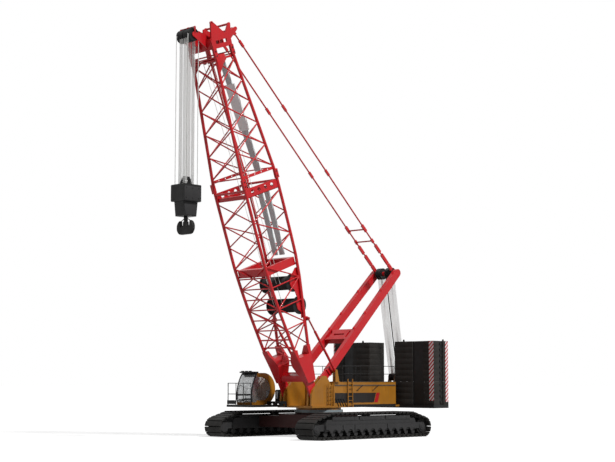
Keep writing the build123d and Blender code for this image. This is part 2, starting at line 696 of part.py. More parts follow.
def cab_shell():
    """Rim panels, left hoop and the right wall round its door."""
    low, high = CAB_OUTER_Y, CAB_INNER_Y
    back_x = CAB_REAR_X + (CAB_ROOF_Z - CAB_FLOOR_Z) / 2
    mid_z = (CAB_FLOOR_Z + CAB_ROOF_Z) / 2
    y0, y1 = low + CAB_WALL + RUN_GAP, high - CAB_WALL - RUN_GAP
    rim = cut(cab_prism(0, y0, y1), cab_prism(CAB_WALL, y0 - 5, y1 + 5), cab_front(y0 - 5, y1 + 5),
              *seams(back_x, mid_z, (90, 135, 180, 225, 270), y0, y1))
    hoop = cut(cab_prism(0, high - CAB_WALL, high), cab_prism(CAB_HOOP, high - 2 * CAB_WALL, high + 10),
               cab_front(high - 2 * CAB_WALL, high + 10))
    x0, x1 = CAB_DOOR_X
    wall = cut(cab_prism(0, low, low + CAB_WALL),
               block(x0, x1, low - 10, low + 2 * CAB_WALL, CAB_FLOOR_Z + 100, CAB_ROOF_Z - 250),
               cab_front(low - 10, low + 2 * CAB_WALL),
               *seams(x0, mid_z, (90, 270), low, low + CAB_WALL),
               *seams(x1, mid_z, (90, 270), low, low + CAB_WALL))
    return rim.solids() + hoop.solids() + wall.solids()


def front_frame():
    """Dark frame of the front panes: two curved pillars, the cross bar and the brow."""
    low, high = CAB_OUTER_Y, CAB_INNER_Y
    band = cut(cab_prism(0, low, high), cab_prism(PILLAR, low - 5, high + 5))
    x0 = CAB_BROW_X + RUN_GAP
    z0 = CAB_SILL_Z + RUN_GAP
    pillars = [common(band, cab_front(y, y + PILLAR, z0, from_x=x0)) for y in (low, high - PILLAR)]
    y0, y1 = low + PILLAR + RUN_GAP, high - PILLAR - RUN_GAP
    bar_low, bar_high = CAB_BAR
    bars = [common(band, cab_front(y0, y1, z, top, from_x=x0))
            for z, top in ((bar_low, bar_high), (CAB_ROOF_Z - 130, CAB_ROOF_Z))]
    return pillars + bars


def cab_panes():
    """Left side pane, right front pane, and the two curved front panes."""
    low, high = CAB_OUTER_Y, CAB_INNER_Y
    x0, z0 = CAB_BROW_X + RUN_GAP, CAB_SILL_Z + RUN_GAP
    sides = []
    for y, inset in ((high - CAB_WALL / 2 - PANE, CAB_HOOP), (low + CAB_WALL / 2, PILLAR)):
        opening = common(cab_prism(PILLAR + RUN_GAP, y, y + PANE),
                         cab_front(y - 5, y + PANE + 5, z0, from_x=x0))
        if inset == CAB_HOOP:
            opening = joined([opening, cab_prism(CAB_HOOP + RUN_GAP, y, y + PANE)])
        sides.append(opening)
    band = cut(cab_prism(20, low, high), cab_prism(20 + PANE, low - 5, high + 5))
    y0, y1 = low + PILLAR + RUN_GAP, high - PILLAR - RUN_GAP
    lower = common(band, cab_front(y0, y1, z0, CAB_BAR[0] - RUN_GAP, from_x=x0))
    upper = common(band, cab_front(y0, y1, CAB_BAR[1] + RUN_GAP, CAB_ROOF_Z - 130 - RUN_GAP, from_x=x0))
    return sides + [lower, upper]


def platform_outline(inset):
    """Plan of the cab's platform as (x, y), from its deck side."""
    x, y = PLATFORM_STEP
    front, rear, outer = PLATFORM_FRONT_X - inset, PLATFORM_REAR_X + inset, PLATFORM_OUTER_Y + inset
    return [(front, -DECK_HALF_WIDTH - RUN_GAP), (front, y + inset), (x - inset, y + inset),
            (x - inset, outer), (rear, outer), (rear, -DECK_HALF_WIDTH - RUN_GAP)]


def build_cab():
    low, high = CAB_OUTER_Y, CAB_INNER_Y
    keep("cab_shell", *cab_shell())
    keep("cab_front_frame", *front_frame())
    keep("cab_glass", *cab_panes())
    x0, x1 = CAB_DOOR_X
    edge = 70.0
    y0, y1 = low - 60 - MOVE_GAP, low - MOVE_GAP
    leaf = block(x0 - 40, x1 + 40, y0, y1, CAB_FLOOR_Z + 60, CAB_ROOF_Z - 210)
    hole = block(x0 + edge, x1 - edge, y0 - 5, y1 + 5, CAB_FLOOR_Z + 700, CAB_ROOF_Z - 330)
    keep("cab_door", cut(leaf, hole))
    glass = block(x0 + edge + RUN_GAP, x1 - edge - RUN_GAP, y0 + 20, y0 + 20 + PANE,
                  CAB_FLOOR_Z + 700 + RUN_GAP, CAB_ROOF_Z - 330 - RUN_GAP)
    keep("cab_door_glass", glass)
    plan = [(x, y, PLATFORM_BOTTOM_Z) for x, y in platform_outline(0)]
    slab = Solid.extrude(Face(Wire.make_polygon(plan, close=True)),
                         Vector(0, 0, CAB_FLOOR_Z - RUN_GAP - PLATFORM_BOTTOM_Z))
    runner = block(x0 - DOOR_TRAVEL - 40, x1 + 40, y0, low - RUN_GAP,
                   PLATFORM_BOTTOM_Z + 40, CAB_FLOOR_Z + 60 - RUN_GAP)
    keep("cab_platform", joined([slab, runner]))
    mid = (low + high) / 2
    floor = CAB_FLOOR_Z + CAB_WALL + RUN_GAP
    seat = joined([
        block(2570, 2850, mid - 180, mid + 180, floor, floor + 420),
        block(2380, 2930, mid - 260, mid + 260, floor + 400, floor + 540),
        plate_y([(2310, floor + 500), (2460, floor + 500), (2360, floor + 1250), (2230, floor + 1250)],
                mid - 250, mid + 250),
    ])
    keep("cab_seat", seat)


# ---------------------------------------------------------------- boom
def boom_place():
    """Frame of the boom: along it, to the left, to the rear."""
    a = radians(BOOM_ANGLE)
    return Plane(origin=(FOOT_X, 0, FOOT_Z), x_dir=(cos(a), 0, sin(a)), z_dir=(-sin(a), 0, cos(a)))


def on_boom(solids):
    """Move solids from the boom's own frame into the machine's."""
    place = boom_place().location
    return [solid.moved(place) for solid in solids]


def boom_point(along, y, out):
    """Machine position of a point in the boom's frame."""
    p = boom_place().from_local_coords(Vector(along, y, out))
    return (p.X, p.Y, p.Z)


def station_at(along):
    """Half width, front offset and rear offset of the boom, anywhere along it."""
    if along > JOINT_AT:
        share = (along - JOINT_AT) / (HEAD_AT - JOINT_AT)
        half = BOOM_CHORD_Y + (HEAD_HALF_WIDTH - BOOM_CHORD_Y) * share
        depth = BASE_ROWS[-1][2] + (HEAD_HALF_DEPTH - BASE_ROWS[-1][2]) * share
        return half, -depth, depth
    for (s0, f0, r0), (s1, f1, r1) in zip(BASE_ROWS, BASE_ROWS[1:]):
        if along <= s1:
            break
    share = (along - s0) / (s1 - s0)
    return BOOM_CHORD_Y, f0 + (f1 - f0) * share, r0 + (r1 - r0) * share


def corner(along, side, rear):
    """Middle of one chord, on the left (1) or right (-1) and front or rear."""
    half, front_out, rear_out = station_at(along)
    return Vector(along, side * half, rear_out if rear else front_out)


def chord(side, rear, low, high, *fixed):
    """Chord tube between two places, cut square there, with what is fixed to it."""
    stops = [low] + [row[0] for row in BASE_ROWS if low < row[0] < high] + [high]
    line = [corner(at, side, rear) for at in stops]
    line[0] -= (line[1] - line[0]).normalized() * CHORD_RADIUS
    line[-1] += (line[-1] - line[-2]).normalized() * CHORD_RADIUS
    tubes = [bar(a, b, 2 * CHORD_RADIUS, flats=8, turn=CHORD_FLAT) for a, b in zip(line, line[1:])]
    reach = 3000.0
    room = block(low + RUN_GAP / 2, high - RUN_GAP / 2, -reach, reach, -reach, reach)
    return common(joined(tubes + list(fixed)), room)


def collar(side, rear, at, towards):
    """Pinned connector at a chord's end, on one side of a section joint."""
    p = corner(at, side, rear)
    low, high = sorted((at, at + towards * COLLAR_LENGTH))
    inner = abs(p.Y) - CHORD_RADIUS + 30
    return block(low, high, *between(side, inner, inner + COLLAR_HALF + 70),
                 p.Z - COLLAR_HALF, p.Z + COLLAR_HALF)


def face_room(low, high):
    """Room between the left and right chords, out to their flats."""
    reach, margin = 3000.0, 20.0
    y0, y1 = station_at(low)[0], station_at(high)[0]
    slope = (y1 - y0) / (high - low)
    seat = CHORD_SEAT * hypot(1, slope)
    ends = [(s, y0 + slope * (s - low) - seat) for s in (low - margin, high + margin)]
    outline = [(s, -y, -reach) for s, y in ends] + [(s, y, -reach) for s, y in reversed(ends)]
    return Solid.extrude(Face(Wire.make_polygon(outline, close=True)), Vector(0, 0, 2 * reach))


def side_room(low, high, y0, y1):
    """Room between the front and rear chords of one side, out to their flats."""
    margin = 20.0
    starts, ends = station_at(low)[1:], station_at(high)[1:]
    lines = []
    for start, end, inward in zip(starts, ends, (1, -1)):
        slope = (end - start) / (high - low)
        seat = inward * CHORD_SEAT * hypot(1, slope)
        lines.append([(s, start + slope * (s - low) + seat) for s in (low - margin, high + margin)])
    return plate_y(lines[0] + lines[1][::-1], y0, y1)


def lace(a, b, turn):
    """Lacing tube between two chord points, its flats square to its face."""
    return bar(a, b, 2 * LACE_RADIUS, flats=6, turn=turn)


def crossed(room, first, second, turn, slab):
    """Two crossing laces: one whole, the other as two halves that end on it."""
    whole = common(lace(*first, turn), room)
    halves = cut(common(lace(*second, turn), room), bar(*first, *slab)).solids()
    return [whole, *halves]


def face_bay(low, high, rear):
    """Crossed lacing of one bay of the front or rear face."""
    pairs = [(corner(low, side, rear), corner(high, -side, rear)) for side in (1, -1)]
    return crossed(face_room(low, high), *pairs, 0, (2 * LACE_HALF, 600))


def side_bay(low, high, side):
    """Crossed lacing of one bay of a side face."""
    pairs = [(corner(low, side, rear), corner(high, side, not rear)) for rear in (False, True)]
    return crossed(side_room(low, high, -3000, 3000), *pairs, 30, (600, 2 * LACE_HALF))


def side_zigzag(side):
    """Single lacing of a side face of the base section."""
    laces = []
    for i, (low, high) in enumerate(zip(FRONT_BAYS, FRONT_BAYS[1:])):
        rear = i % 2 == 1
        line = lace(corner(low, side, rear), corner(high, side, not rear), 30)
        laces.append(common(line, side_room(low, high, -3000, 3000)))
    return laces


def tie(along, rear, radius=LACE_RADIUS, flats=6):
    """Level tube between the left and right chords."""
    ends = [corner(along, side, rear) for side in (1, -1)]
    return common(bar(*ends, 2 * radius, flats=flats), face_room(along - 150, along + 150))


def side_panel(low, high, side):
    """Perforated panel between the front and rear chords, beside the section joint."""
    middle = (low + high) / 2
    y = side * station_at(middle)[0]
    plate = common(side_room(low, high, y - 15, y + 15), block(low, high, y - 20, y + 20, -2000, 2000))
    holes = [disc_y(middle, out, (high - low) / 4, y - 20, y + 20, FLATS_SMALL)
             for out in (-900, -300, 300, 900)]
    return cut(plate, *holes)


def build_boom():
    trusses, laces = [], []
    for side in (1, -1):
        trusses.append(boom_foot(side))
        for rear in (False, True):
            fixed = [collar(side, rear, JOINT_AT, -1)] + ([stop_plate(side)] if rear else [])
            trusses.append(chord(side, rear, FOOT_END, JOINT_AT, *fixed))
        trusses += side_zigzag(side)
        trusses += [winch_cheek(side), side_panel(*SIDE_PANELS[0], side)]
    for rows, rear in [(FRONT_BAYS, False), (REAR_BAYS[0], True), (REAR_BAYS[1], True)]:
        for low, high in zip(rows, rows[1:]):
            laces += face_bay(low, high, rear)
    keep("boom_base_trusses", *on_boom(trusses))
    keep("boom_base_lacing", *on_boom(laces))

    trusses, laces = [], []
    rows = [TOP_START + i * BAY for i in range(TOP_BAYS + 1)]
    for side in (1, -1):
        for rear in (False, True):
            ends = [collar(side, rear, JOINT_AT, 1), collar(side, rear, HEAD_AT, -1)]
            trusses.append(chord(side, rear, JOINT_AT, HEAD_AT, *ends))
        for low, high in zip(rows, rows[1:]):
            trusses += side_bay(low, high, side)
        trusses.append(side_panel(*SIDE_PANELS[1], side))
    for rear in (False, True):
        for low, high in zip(rows, rows[1:]):
            laces += face_bay(low, high, rear)
        laces += [tie(at, rear) for at in TOP_TIES]
    keep("boom_top_trusses", *on_boom(trusses))
    keep("boom_top_lacing", *on_boom(laces))

    frames = [cross_frame(*row) for row in FRAME_ROWS] + [foot_beam()]
    frames += [tie(HEAVY_TIE_AT, rear, HEAVY_TIE_RADIUS, 8) for rear in (False, True)]
    keep("boom_cross_frames", *on_boom(frames))
    keep("hoist_winches", *on_boom([winch(*row) for row in WINCHES]))
    keep("boom_head", *on_boom([boom_head()]))
    keep("head_sheaves", *on_boom(head_sheaves()))
    keep("boom_rear_channel", *on_boom(rear_channel()))
    keep("blank_name_board", *on_boom([strip(NAME_BOARD[0], NAME_BOARD[1], -430, 430)]))


def foot_inner(along):
    """Y of a foot's inner edge, below its widest place."""
    (s0, y0), (s1, y1) = FOOT_PLAN[:2]
    return y0 + (y1 - y0) * (along - s0) / (s1 - s0)


def boom_foot(side):
    """Tapered box at the lower end of one side, with the eye of the foot pin."""
    lug_y = between(side, FOOT_INNER_Y, 2 * FORK_Y - FOOT_INNER_Y)
    lug = plate_y([(0, -FOOT_EYE_RADIUS), (0, FOOT_EYE_RADIUS), (1000, 280), (1000, -440)], *lug_y)
    eye = disc_y(0, 0, FOOT_EYE_RADIUS, *lug_y, FLATS)
    top = FOOT_END - RUN_GAP / 2
    outer = BOOM_CHORD_Y + CHORD_RADIUS
    front, rear = [station_at(top)[i] for i in (1, 2)]
    sides = plate_y([(900, -400), (2100, -550 - CHORD_RADIUS), (top, front - CHORD_RADIUS),
                     (top, rear + CHORD_RADIUS), (900, 300)], *between(side, 0, outer))
    plan = [*FOOT_PLAN, (top, outer), (FOOT_PLAN[0][0], outer)]
    face = Face(Wire.make_polygon([(s, side * y, -2000) for s, y in plan], close=True))
    box = common(sides, Solid.extrude(face, Vector(0, 0, 4000)))
    notch = block(FOOT_NOTCH_AT, top + 10, *between(side, 0, outer + 10),
                  front + 2 * CHORD_RADIUS, rear - 2 * CHORD_RADIUS)
    bore = disc_y(0, 0, PIN_RADIUS + PIN_GAP, *between(side, FORK_Y - 200, FORK_Y + 200))
    return cut(joined([lug, eye, box]), bore, notch)


def foot_beam():
    """Box beam across the boom between its feet, its ends square to their inner edges."""
    low, high = FOOT_BEAM
    seat = RUN_GAP * 2
    y_low, y_high = foot_inner(low) - seat, foot_inner(high) - seat
    outline = [(low, -y_low), (high, -y_high), (high, y_high), (low, y_low)]
    face = Face(Wire.make_polygon([(s, y, -380) for s, y in outline], close=True))
    return Solid.extrude(face, Vector(0, 0, 560))


def winch_cheek(side):
    """Bearing plate of the hoist winches, hung from the rear chord of one side."""
    low, high = WINCH_CHEEK
    stops = [low] + [row[0] for row in BASE_ROWS if low < row[0] < high] + [high]
    edge = [(at, station_at(at)[2] + 30) for at in stops]
    arms = []
    for along, out in reversed(WINCHES):
        arms += [(along + 450, out - 60), (along + 200, out - 300), (along - 200, out - 300),
                 (along - 450, out - 60)]
    return plate_y(edge + [(high, edge[-1][1] - 200)] + arms + [(low, edge[0][1] - 200)],
                   *between(side, WINCH_CHEEK_Y - WINCH_CHEEK_THICKNESS, WINCH_CHEEK_Y))


def winch(along, out):
    """Grooved rope drum with its flanges, axis across the boom."""
    half = WINCH_CHEEK_Y - WINCH_CHEEK_THICKNESS - RUN_GAP
    pieces = [disc_y(along, out, WINCH_FLANGE - 140, -half, half, FLATS)]
    for y in (-half, half - 60):
        pieces.append(disc_y(along, out, WINCH_FLANGE, y, y + 60, FLATS))
    return joined(pieces)


def cross_frame(along, thickness, depth_in):
    """Plated rectangular frame inside the four chords, on a tab at each of them."""
    half, front, rear = station_at(along)
    w, f, r = half - CHORD_SEAT, front + LACE_RADIUS + 20, rear - LACE_RADIUS - 20
    outside = block(along, along + thickness, -w, w, f, r)
    inside = block(along - 5, along + thickness + 5, -w + depth_in, w - depth_in,
                   f + depth_in, r - depth_in)
    tabs = []
    for side in (1, -1):
        for out, inward in ((front, 1), (rear, -1)):
            low, high = sorted((out - inward * 30, out + inward * 130))
            tabs.append(block(along + 20, along + 120, *between(side, w - TAB, w), low, high))
    return joined([cut(outside, inside)] + tabs)


def strip(low, high, y0, y1):
    """Flat member under the rear lacing, between two places."""
    stops = [low] + [row[0] for row in BASE_ROWS if low < row[0] < high] + [high]
    top = [(at, station_at(at)[2] - LACE_RADIUS - RUN_GAP) for at in stops]
    return plate_y(top + [(at, out - STRIP_THICKNESS) for at, out in reversed(top)], y0, y1)


def rear_channel():
    """Flat grey channels along the middle of the rear face."""
    first, last = REAR_BAYS[1][0] + 60, FRAME_ROWS[1][0] - MOVE_GAP
    pieces = [strip(first, last, y, y + 420) for y in (-560, 60)]
    pieces.append(strip(TOP_TIES[0] - 100, NAME_BOARD[0] - RUN_GAP, -260, 260))
    pieces.append(strip(NAME_BOARD[1] + RUN_GAP, HEAD_AT - 600, -230, 230))
    return pieces


def stop_plate(side):
    """Plate on the rear chord beside the eye of the backstop's rod."""
    p = boom_place().to_local_coords(Vector(STOP_HIGH[0], 0, STOP_HIGH[1]))
    y0, y1 = between(side, BOOM_CHORD_Y, STOP_Y - STOP_BARREL - MOVE_GAP)
    return cut(disc_y(p.X, p.Z, 150, y0, y1, FLATS_SMALL), disc_y(p.X, p.Z, 50, y0 - 5, y1 + 5))


def ear(tip, radius, root, y0, y1):
    """Plate from two root points to a round end about a pin's middle."""
    (ax, az), (bx, bz) = root
    dx, dz = tip[0] - (ax + bx) / 2, tip[1] - (az + bz) / 2
    nx, nz = [part * radius / hypot(dx, dz) for part in (-dz, dx)]
    outline = [root[0], (tip[0] - nx, tip[1] - nz), (tip[0] + nx, tip[1] + nz), root[1]]
    return joined([plate_y(outline, y0, y1), disc_y(*tip, radius, y0, y1, FLATS_SMALL)])


def head_side(side):
    """One side of the head: slotted plate with its ears, and its corner connectors."""
    y0, y1 = between(side, HEAD_HALF_WIDTH - 60, HEAD_HALF_WIDTH + 60)
    low, top = HEAD_BODY_AT, HEAD_TOP_AT
    f, r = -HEAD_HALF_DEPTH - 100, HEAD_HALF_DEPTH + 100
    pieces = [plate_y([(low, f), (top - 350, f), (top, f + 250), (top - 50, r + 50), (low, r)], y0, y1)]
    pieces += [ear(tip, radius, root, y0, y1) for tip, radius, root in HEAD_EARS]
    for out in (-HEAD_HALF_DEPTH, HEAD_HALF_DEPTH):
        pieces.append(block(HEAD_AT + RUN_GAP / 2, low + 50,
                            *between(side, HEAD_HALF_WIDTH - 70, HEAD_HALF_WIDTH + 110),
                            out - COLLAR_HALF, out + COLLAR_HALF))
    slots = [block(low + 280, low + 480, y0 - 5, y1 + 5, out, out + 280)
             for out in (-480, -140, 200)]
    return cut(joined(pieces), *slots)


def boom_head():
    """Plated head: side plates with ears, cross plates and the arms of the hoist sheaves."""
    low, top, w = HEAD_BODY_AT, HEAD_TOP_AT, HEAD_HALF_WIDTH
    f, r = -HEAD_HALF_DEPTH - 100, HEAD_HALF_DEPTH + 100
    pieces = both_sides(head_side)
    front = block(low, low + 700, -w, w, f, f + 60)
    pieces.append(cut(front, *[tube((low + 380, y, f - 5), (low + 380, y, f + 65), 130, FLATS_SMALL)
                               for y in (-520, 520)]))
    pieces.append(block(low, low + 250, -w, w, f, f + 250))
    pieces.append(block(low, low + 250, -w, w, r - 250, r))
    pieces.append(block(low + 560, low + 620, -w, w, f, r))
    for y in (-330, 270):
        pieces.append(plate_y([(low, f), (top - 350, f), (top + 450, -520), (top + 450, -360),
                               (top, 300), (top - 50, r), (low, r)], y, y + 60))
    arm = [(low + 100, f + 30), (HEAD_SHEAVE_AT - 150, HEAD_SHEAVE_OUT - 60),
           (HEAD_SHEAVE_AT + 150, HEAD_SHEAVE_OUT + 60), (top, f + 250), (top - 200, -300),
           (low + 100, -300)]
    inner = HEAD_SHEAVE_HALF + RUN_GAP
    for y in (-inner - 60, -30, inner):
        pieces.append(plate_y(arm, y, y + 60))
        pieces.append(disc_y(HEAD_SHEAVE_AT, HEAD_SHEAVE_OUT, 160, y, y + 60, FLATS_SMALL))
    pieces.append(disc_y(HEAD_SHEAVE_AT, HEAD_SHEAVE_OUT, HEAD_SHAFT_RADIUS, -inner, inner,
                         FLATS_SMALL))
    pieces.append(disc_y(*HEAD_EARS[1][0], 70, -w, w, FLATS_SMALL))
    pieces.append(disc_y(*PENDANT_PIN, PENDANT_PIN_RADIUS, -w, w))
    return cut(joined(pieces), disc_y(*JIB_BORE, JIB_BORE_RADIUS, -w - 100, w + 100))


def head_sheaves():
    """Two packs of hoist sheaves on the head's shaft."""
    packs = []
    bore = disc_y(HEAD_SHEAVE_AT, HEAD_SHEAVE_OUT, HEAD_SHAFT_RADIUS + RUN_GAP,
                  -HEAD_SHEAVE_HALF, HEAD_SHEAVE_HALF, FLATS_SMALL)
    for y0, y1 in ((-HEAD_SHEAVE_HALF, -30 - RUN_GAP), (30 + RUN_GAP, HEAD_SHEAVE_HALF)):
        pack = disc_y(HEAD_SHEAVE_AT, HEAD_SHEAVE_OUT, HEAD_SHEAVE_RADIUS, y0, y1, FLATS)
        packs.append(cut(pack, bore))
    return packs


# ---------------------------------------------------------------- load
def throat(side):
    """Open throat of one horn: a round seat that widens upwards."""
    z, x = HOOK_BOTTOM_Z + THROAT_HEIGHT, HOOK_HALF_THICKNESS + 5
    rise = HORN_RADIUS + THROAT_RADIUS
    inner, outer = THROAT_Y - THROAT_RADIUS, THROAT_Y + THROAT_RADIUS
    outline = [(inner, z), (outer, z), (outer + THROAT_FLARE, z + rise), (inner, z + rise)]
    seat = tube((-x, side * THROAT_Y, z), (x, side * THROAT_Y, z), THROAT_RADIUS, FLATS)
    return joined([seat, plate_x([(side * y, up) for y, up in outline], -x, x)])


def ramshorn(top):
    """Two-horned hook round its shank, about x = 0."""
    x = HOOK_HALF_THICKNESS
    hub = HOOK_BOTTOM_Z + HORN_RADIUS
    body = [tube((-x, side * HORN_Y, hub), (x, side * HORN_Y, hub), HORN_RADIUS, FLATS_LARGE)
            for side in (1, -1)]
    body.append(block(-x, x, -HORN_Y, HORN_Y, HOOK_BOTTOM_Z, hub + 100))
    body.append(tube((0, 0, hub), (0, 0, top), SHANK_RADIUS))
    latches = [bar((0, side * LATCH_PIN_Y, top - LATCH_PIN_Y), (0, side * LATCH_TIP_Y, hub + 330), 60)
               for side in (1, -1)]
    return joined([cut(joined(body), throat(1), throat(-1))] + latches)


def build_load():
    x, y, z = boom_point(HEAD_SHEAVE_AT, 0, HEAD_SHEAVE_OUT)
    lead = HEAD_SHEAVE_RADIUS + ROPE_RADIUS + RUN_GAP
    ropes = []
    for y in ROPE_ROWS:
        for dx in (-lead, lead):
            ropes.append(bar((x + dx, y, ROPE_BOTTOM_Z + RUN_GAP), (x + dx, y, z),
                             2 * ROPE_RADIUS, flats=6))
    keep("hoist_ropes", *ropes)
    wide, low = lead + BLOCK_SIDE, BLOCK_WAIST_Z
    upper = block(x - wide, x + wide, -BLOCK_HALF_WIDTH, BLOCK_HALF_WIDTH, low, ROPE_BOTTOM_Z)
    upper = chamfer(upper.edges().filter_by(Axis.Y), 40).solids()[0]
    taper = plate_y([(x - wide + 140, low + 10), (x + wide - 140, low + 10),
                     (x + wide - 240, BLOCK_BOTTOM_Z), (x - wide + 240, BLOCK_BOTTOM_Z)], -430, 430)
    crown = plate_y([(x - 520, ROPE_BOTTOM_Z - 10), (x + 520, ROPE_BOTTOM_Z - 10),
                     (x + 230, BLOCK_CROWN_Z), (x - 230, BLOCK_CROWN_Z)], -60, 60)
    slot = block(x - 160, x + 160, -70, 70, BLOCK_CROWN_Z - 300, BLOCK_CROWN_Z - 200)
    keep("hook_block", joined([upper, taper, cut(crown, slot)]))
    keep("ramshorn_hook", ramshorn(BLOCK_BOTTOM_Z - RUN_GAP).moved(Location((x, 0, 0))))


# ---------------------------------------------------------------- mast, pendants, ropes
def mast_place():
    """Frame of the mast: along it from its foot pin, to the left, towards the ground."""
    dx, dz = MAST_TOP_X - MAST_X, MAST_TOP_Z - MAST_Z
    length = hypot(dx, dz)
    c, s = dx / length, dz / length
    return Plane(origin=(MAST_X, 0, MAST_Z), x_dir=(c, 0, s), z_dir=(-s, 0, c)), length


def build_mast():
    plane, length = mast_place()
    legs = []
    for side in (1, -1):
        half = FORK_SLOT / 2 - MOVE_GAP
        lug_y = between(side, FORK_Y - half, FORK_Y + half)
        lug = plate_y([(0, -MAST_EYE_RADIUS), (0, MAST_EYE_RADIUS), (900, MAST_EYE_RADIUS),
                       (900, -MAST_EYE_RADIUS)], *lug_y)
        eye = disc_y(0, 0, MAST_EYE_RADIUS, *lug_y, FLATS)
        leg = bar((650, side * FORK_Y, 0), (length - 200, side * MAST_TOP_Y, 0),
                  MAST_WIDTH, MAST_DEPTH)
        tip = disc_y(length - 200, 0, MAST_DEPTH / 2,
                     *between(side, MAST_TOP_Y - MAST_WIDTH / 2, MAST_TOP_Y + MAST_WIDTH / 2), FLATS)
        bore = disc_y(0, 0, PIN_RADIUS + PIN_GAP, *between(side, FORK_Y - 200, FORK_Y + 200))
        rungs = [bar((at, side * (FORK_Y + (MAST_TOP_Y - FORK_Y) * (at - 650) / (length - 850)),
                      -MAST_DEPTH / 2 + 5),
                     (at, side * (FORK_Y + (MAST_TOP_Y - FORK_Y) * (at - 650) / (length - 850)),
                      -MAST_DEPTH / 2 - 110), 60, 140) for at in MAST_LUGS]
        legs.append(cut(joined([lug, eye, leg, tip] + rungs), bore))
    keep("mast_legs", *[leg.moved(plane.location) for leg in legs])
    slope = (MAST_TOP_Y - FORK_Y) / (length - 850)

    def inner_y(at):
        return FORK_Y + slope * (at - 650) - MAST_WIDTH / 2 * hypot(1, slope) - RUN_GAP

    top_inner = MAST_TOP_Y - MAST_WIDTH / 2 - RUN_GAP
    low, high, flare = MAST_BEAM_AT - 250, MAST_BEAM_AT + 250, 240
    half = [(low - flare, inner_y(low - flare)), (low, inner_y(low) - flare),
            (high, inner_y(high) - flare), (high + flare, inner_y(high + flare))]
    corners = [(x, -y) for x, y in half] + half[::-1]
    face = Face(Wire.make_polygon([(x, y, -200) for x, y in corners], close=True))
    slot = block(MAST_BEAM_AT - 70, MAST_BEAM_AT + 70, -480, 480, -210, 210)
    beams = [
        cut(Solid.extrude(face, Vector(0, 0, 400)), slot),
        disc_y(length - 200, 0, 150, -top_inner, top_inner, FLATS_SMALL),
    ]
    keep("mast_cross_beams", *[beam.moved(plane.location) for beam in beams])
    packs = []
    for y0, y1 in ((-MAST_PACK_Y, -220), (220, MAST_PACK_Y)):
        pack = disc_y(length - 200, 0, MAST_SHEAVE_RADIUS, y0, y1, FLATS)
        bore = disc_y(length - 200, 0, 150 + RUN_GAP, y0 - 5, y1 + 5, FLATS_SMALL)
        packs.append(cut(pack, bore))
    keep("mast_sheaves", *[pack.moved(plane.location) for pack in packs])


def pendant_low():
    """Middle of the mast head shaft, where the pendants pull, as (x, z)."""
    plane, length = mast_place()
    head = plane.from_local_coords(Vector(length - 200, 0, 0))
    return head.X, head.Z


def build_pendants():
    top = boom_point(PENDANT_PIN[0], 0, PENDANT_PIN[1])
    low = pendant_low()
    start, end = Vector(top[0], 0, top[2]), Vector(low[0], 0, low[1])
    along = (end - start).normalized()
    whole = (end - start).length
    reach = whole - PENDANT_OPEN
    pieces = []
    for side in (1, -1):
        y = side * PENDANT_Y

        def at(distance):
            p = start + along * distance
            return (p.X, y, p.Z)

        y0, y1 = y - PENDANT_WIDTH / 2, y + PENDANT_WIDTH / 2
        parts = [bar(at(300), at(reach - 300), 2 * PENDANT_RADIUS, flats=8, turn=CHORD_FLAT),
                 bar(at(0), at(420), PENDANT_WIDTH, 200), disc_y(top[0], top[2], 130, y0, y1, FLATS_SMALL),
                 bar(at(reach - 500), at(reach), PENDANT_WIDTH, 260)]
        parts += [bar(at(d), at(d + 500), PENDANT_WIDTH, 160) for d in PENDANT_LINKS]
        parts += [bar(at(whole - far), at(whole - near), PENDANT_WIDTH, depth)
                  for near, far, depth in PENDANT_PLATES]
        bore = disc_y(top[0], top[2], PENDANT_PIN_RADIUS + PIN_GAP, y0 - 5, y1 + 5)
        pieces.append(cut(joined(parts), bore))
    inner = PENDANT_Y - PENDANT_WIDTH / 2 - RUN_GAP
    for distance in PENDANT_SPREADERS:
        p = start + along * (whole - distance)
        pieces.append(bar((p.X, -inner, p.Z), (p.X, inner, p.Z), 90))
    keep("boom_pendants", *pieces)


def build_luffing_ropes():
    ropes = []
    plane, length = mast_place()
    head = plane.from_local_coords(Vector(length - 200, 0, 0))
    start_z = head.Z - MAST_SHEAVE_RADIUS - RUN_GAP
    end_z = ANCHOR_Z + ANCHOR_SHEAVE_RADIUS + RUN_GAP
    for side in (1, -1):
        y0, y1 = between(side, LUFF_ROPE_Y - 170, LUFF_ROPE_Y + 170)
        ropes.append(plate_y([(head.X - 300, start_z), (head.X + 300, start_z),
                              (ANCHOR_X + 240, end_z), (ANCHOR_X - 240, end_z)], y0, y1))
    keep("luffing_ropes", *ropes)


def build_backstops():
    (x0, z0), (x1, z1) = STOP_LOW, STOP_HIGH
    length = hypot(x1 - x0, z1 - z0)
    c, s = (x1 - x0) / length, (z1 - z0) / length

    def on_line(at, side):
        return (x0 + c * at, side * STOP_Y, z0 + s * at)

    tubes, rods = [], []
    for side in (1, -1):
        y0, y1 = STOP_Y - STOP_BARREL, STOP_Y + STOP_BARREL
        eye = disc_y(x0, z0, STOP_BARREL, *between(side, y0, y1), FLATS_SMALL)
        barrel = tube(on_line(0, side), on_line(STOP_TUBE, side), STOP_BARREL, FLATS)
        bore = tube(on_line(200, side), on_line(STOP_TUBE + 10, side), STOP_ROD + RUN_GAP, FLATS)
        hole = disc_y(x0, z0, STOP_PIN + PIN_GAP, *between(side, y0 - 5, y1 + 5))
        tubes.append(cut(joined([eye, barrel]), bore, hole))
        rod = tube(on_line(STOP_ROD_START, side), on_line(length - 40, side), STOP_ROD, FLATS)
        end = cut(disc_y(x1, z1, 90, *between(side, y0, y1), FLATS_SMALL),
                  disc_y(x1, z1, STOP_PIN + PIN_GAP, *between(side, y0 - 5, y1 + 5)))
        rods.append(joined([rod, end]))
    keep("backstop_barrels", *tubes)
    keep("backstop_rods", *rods)


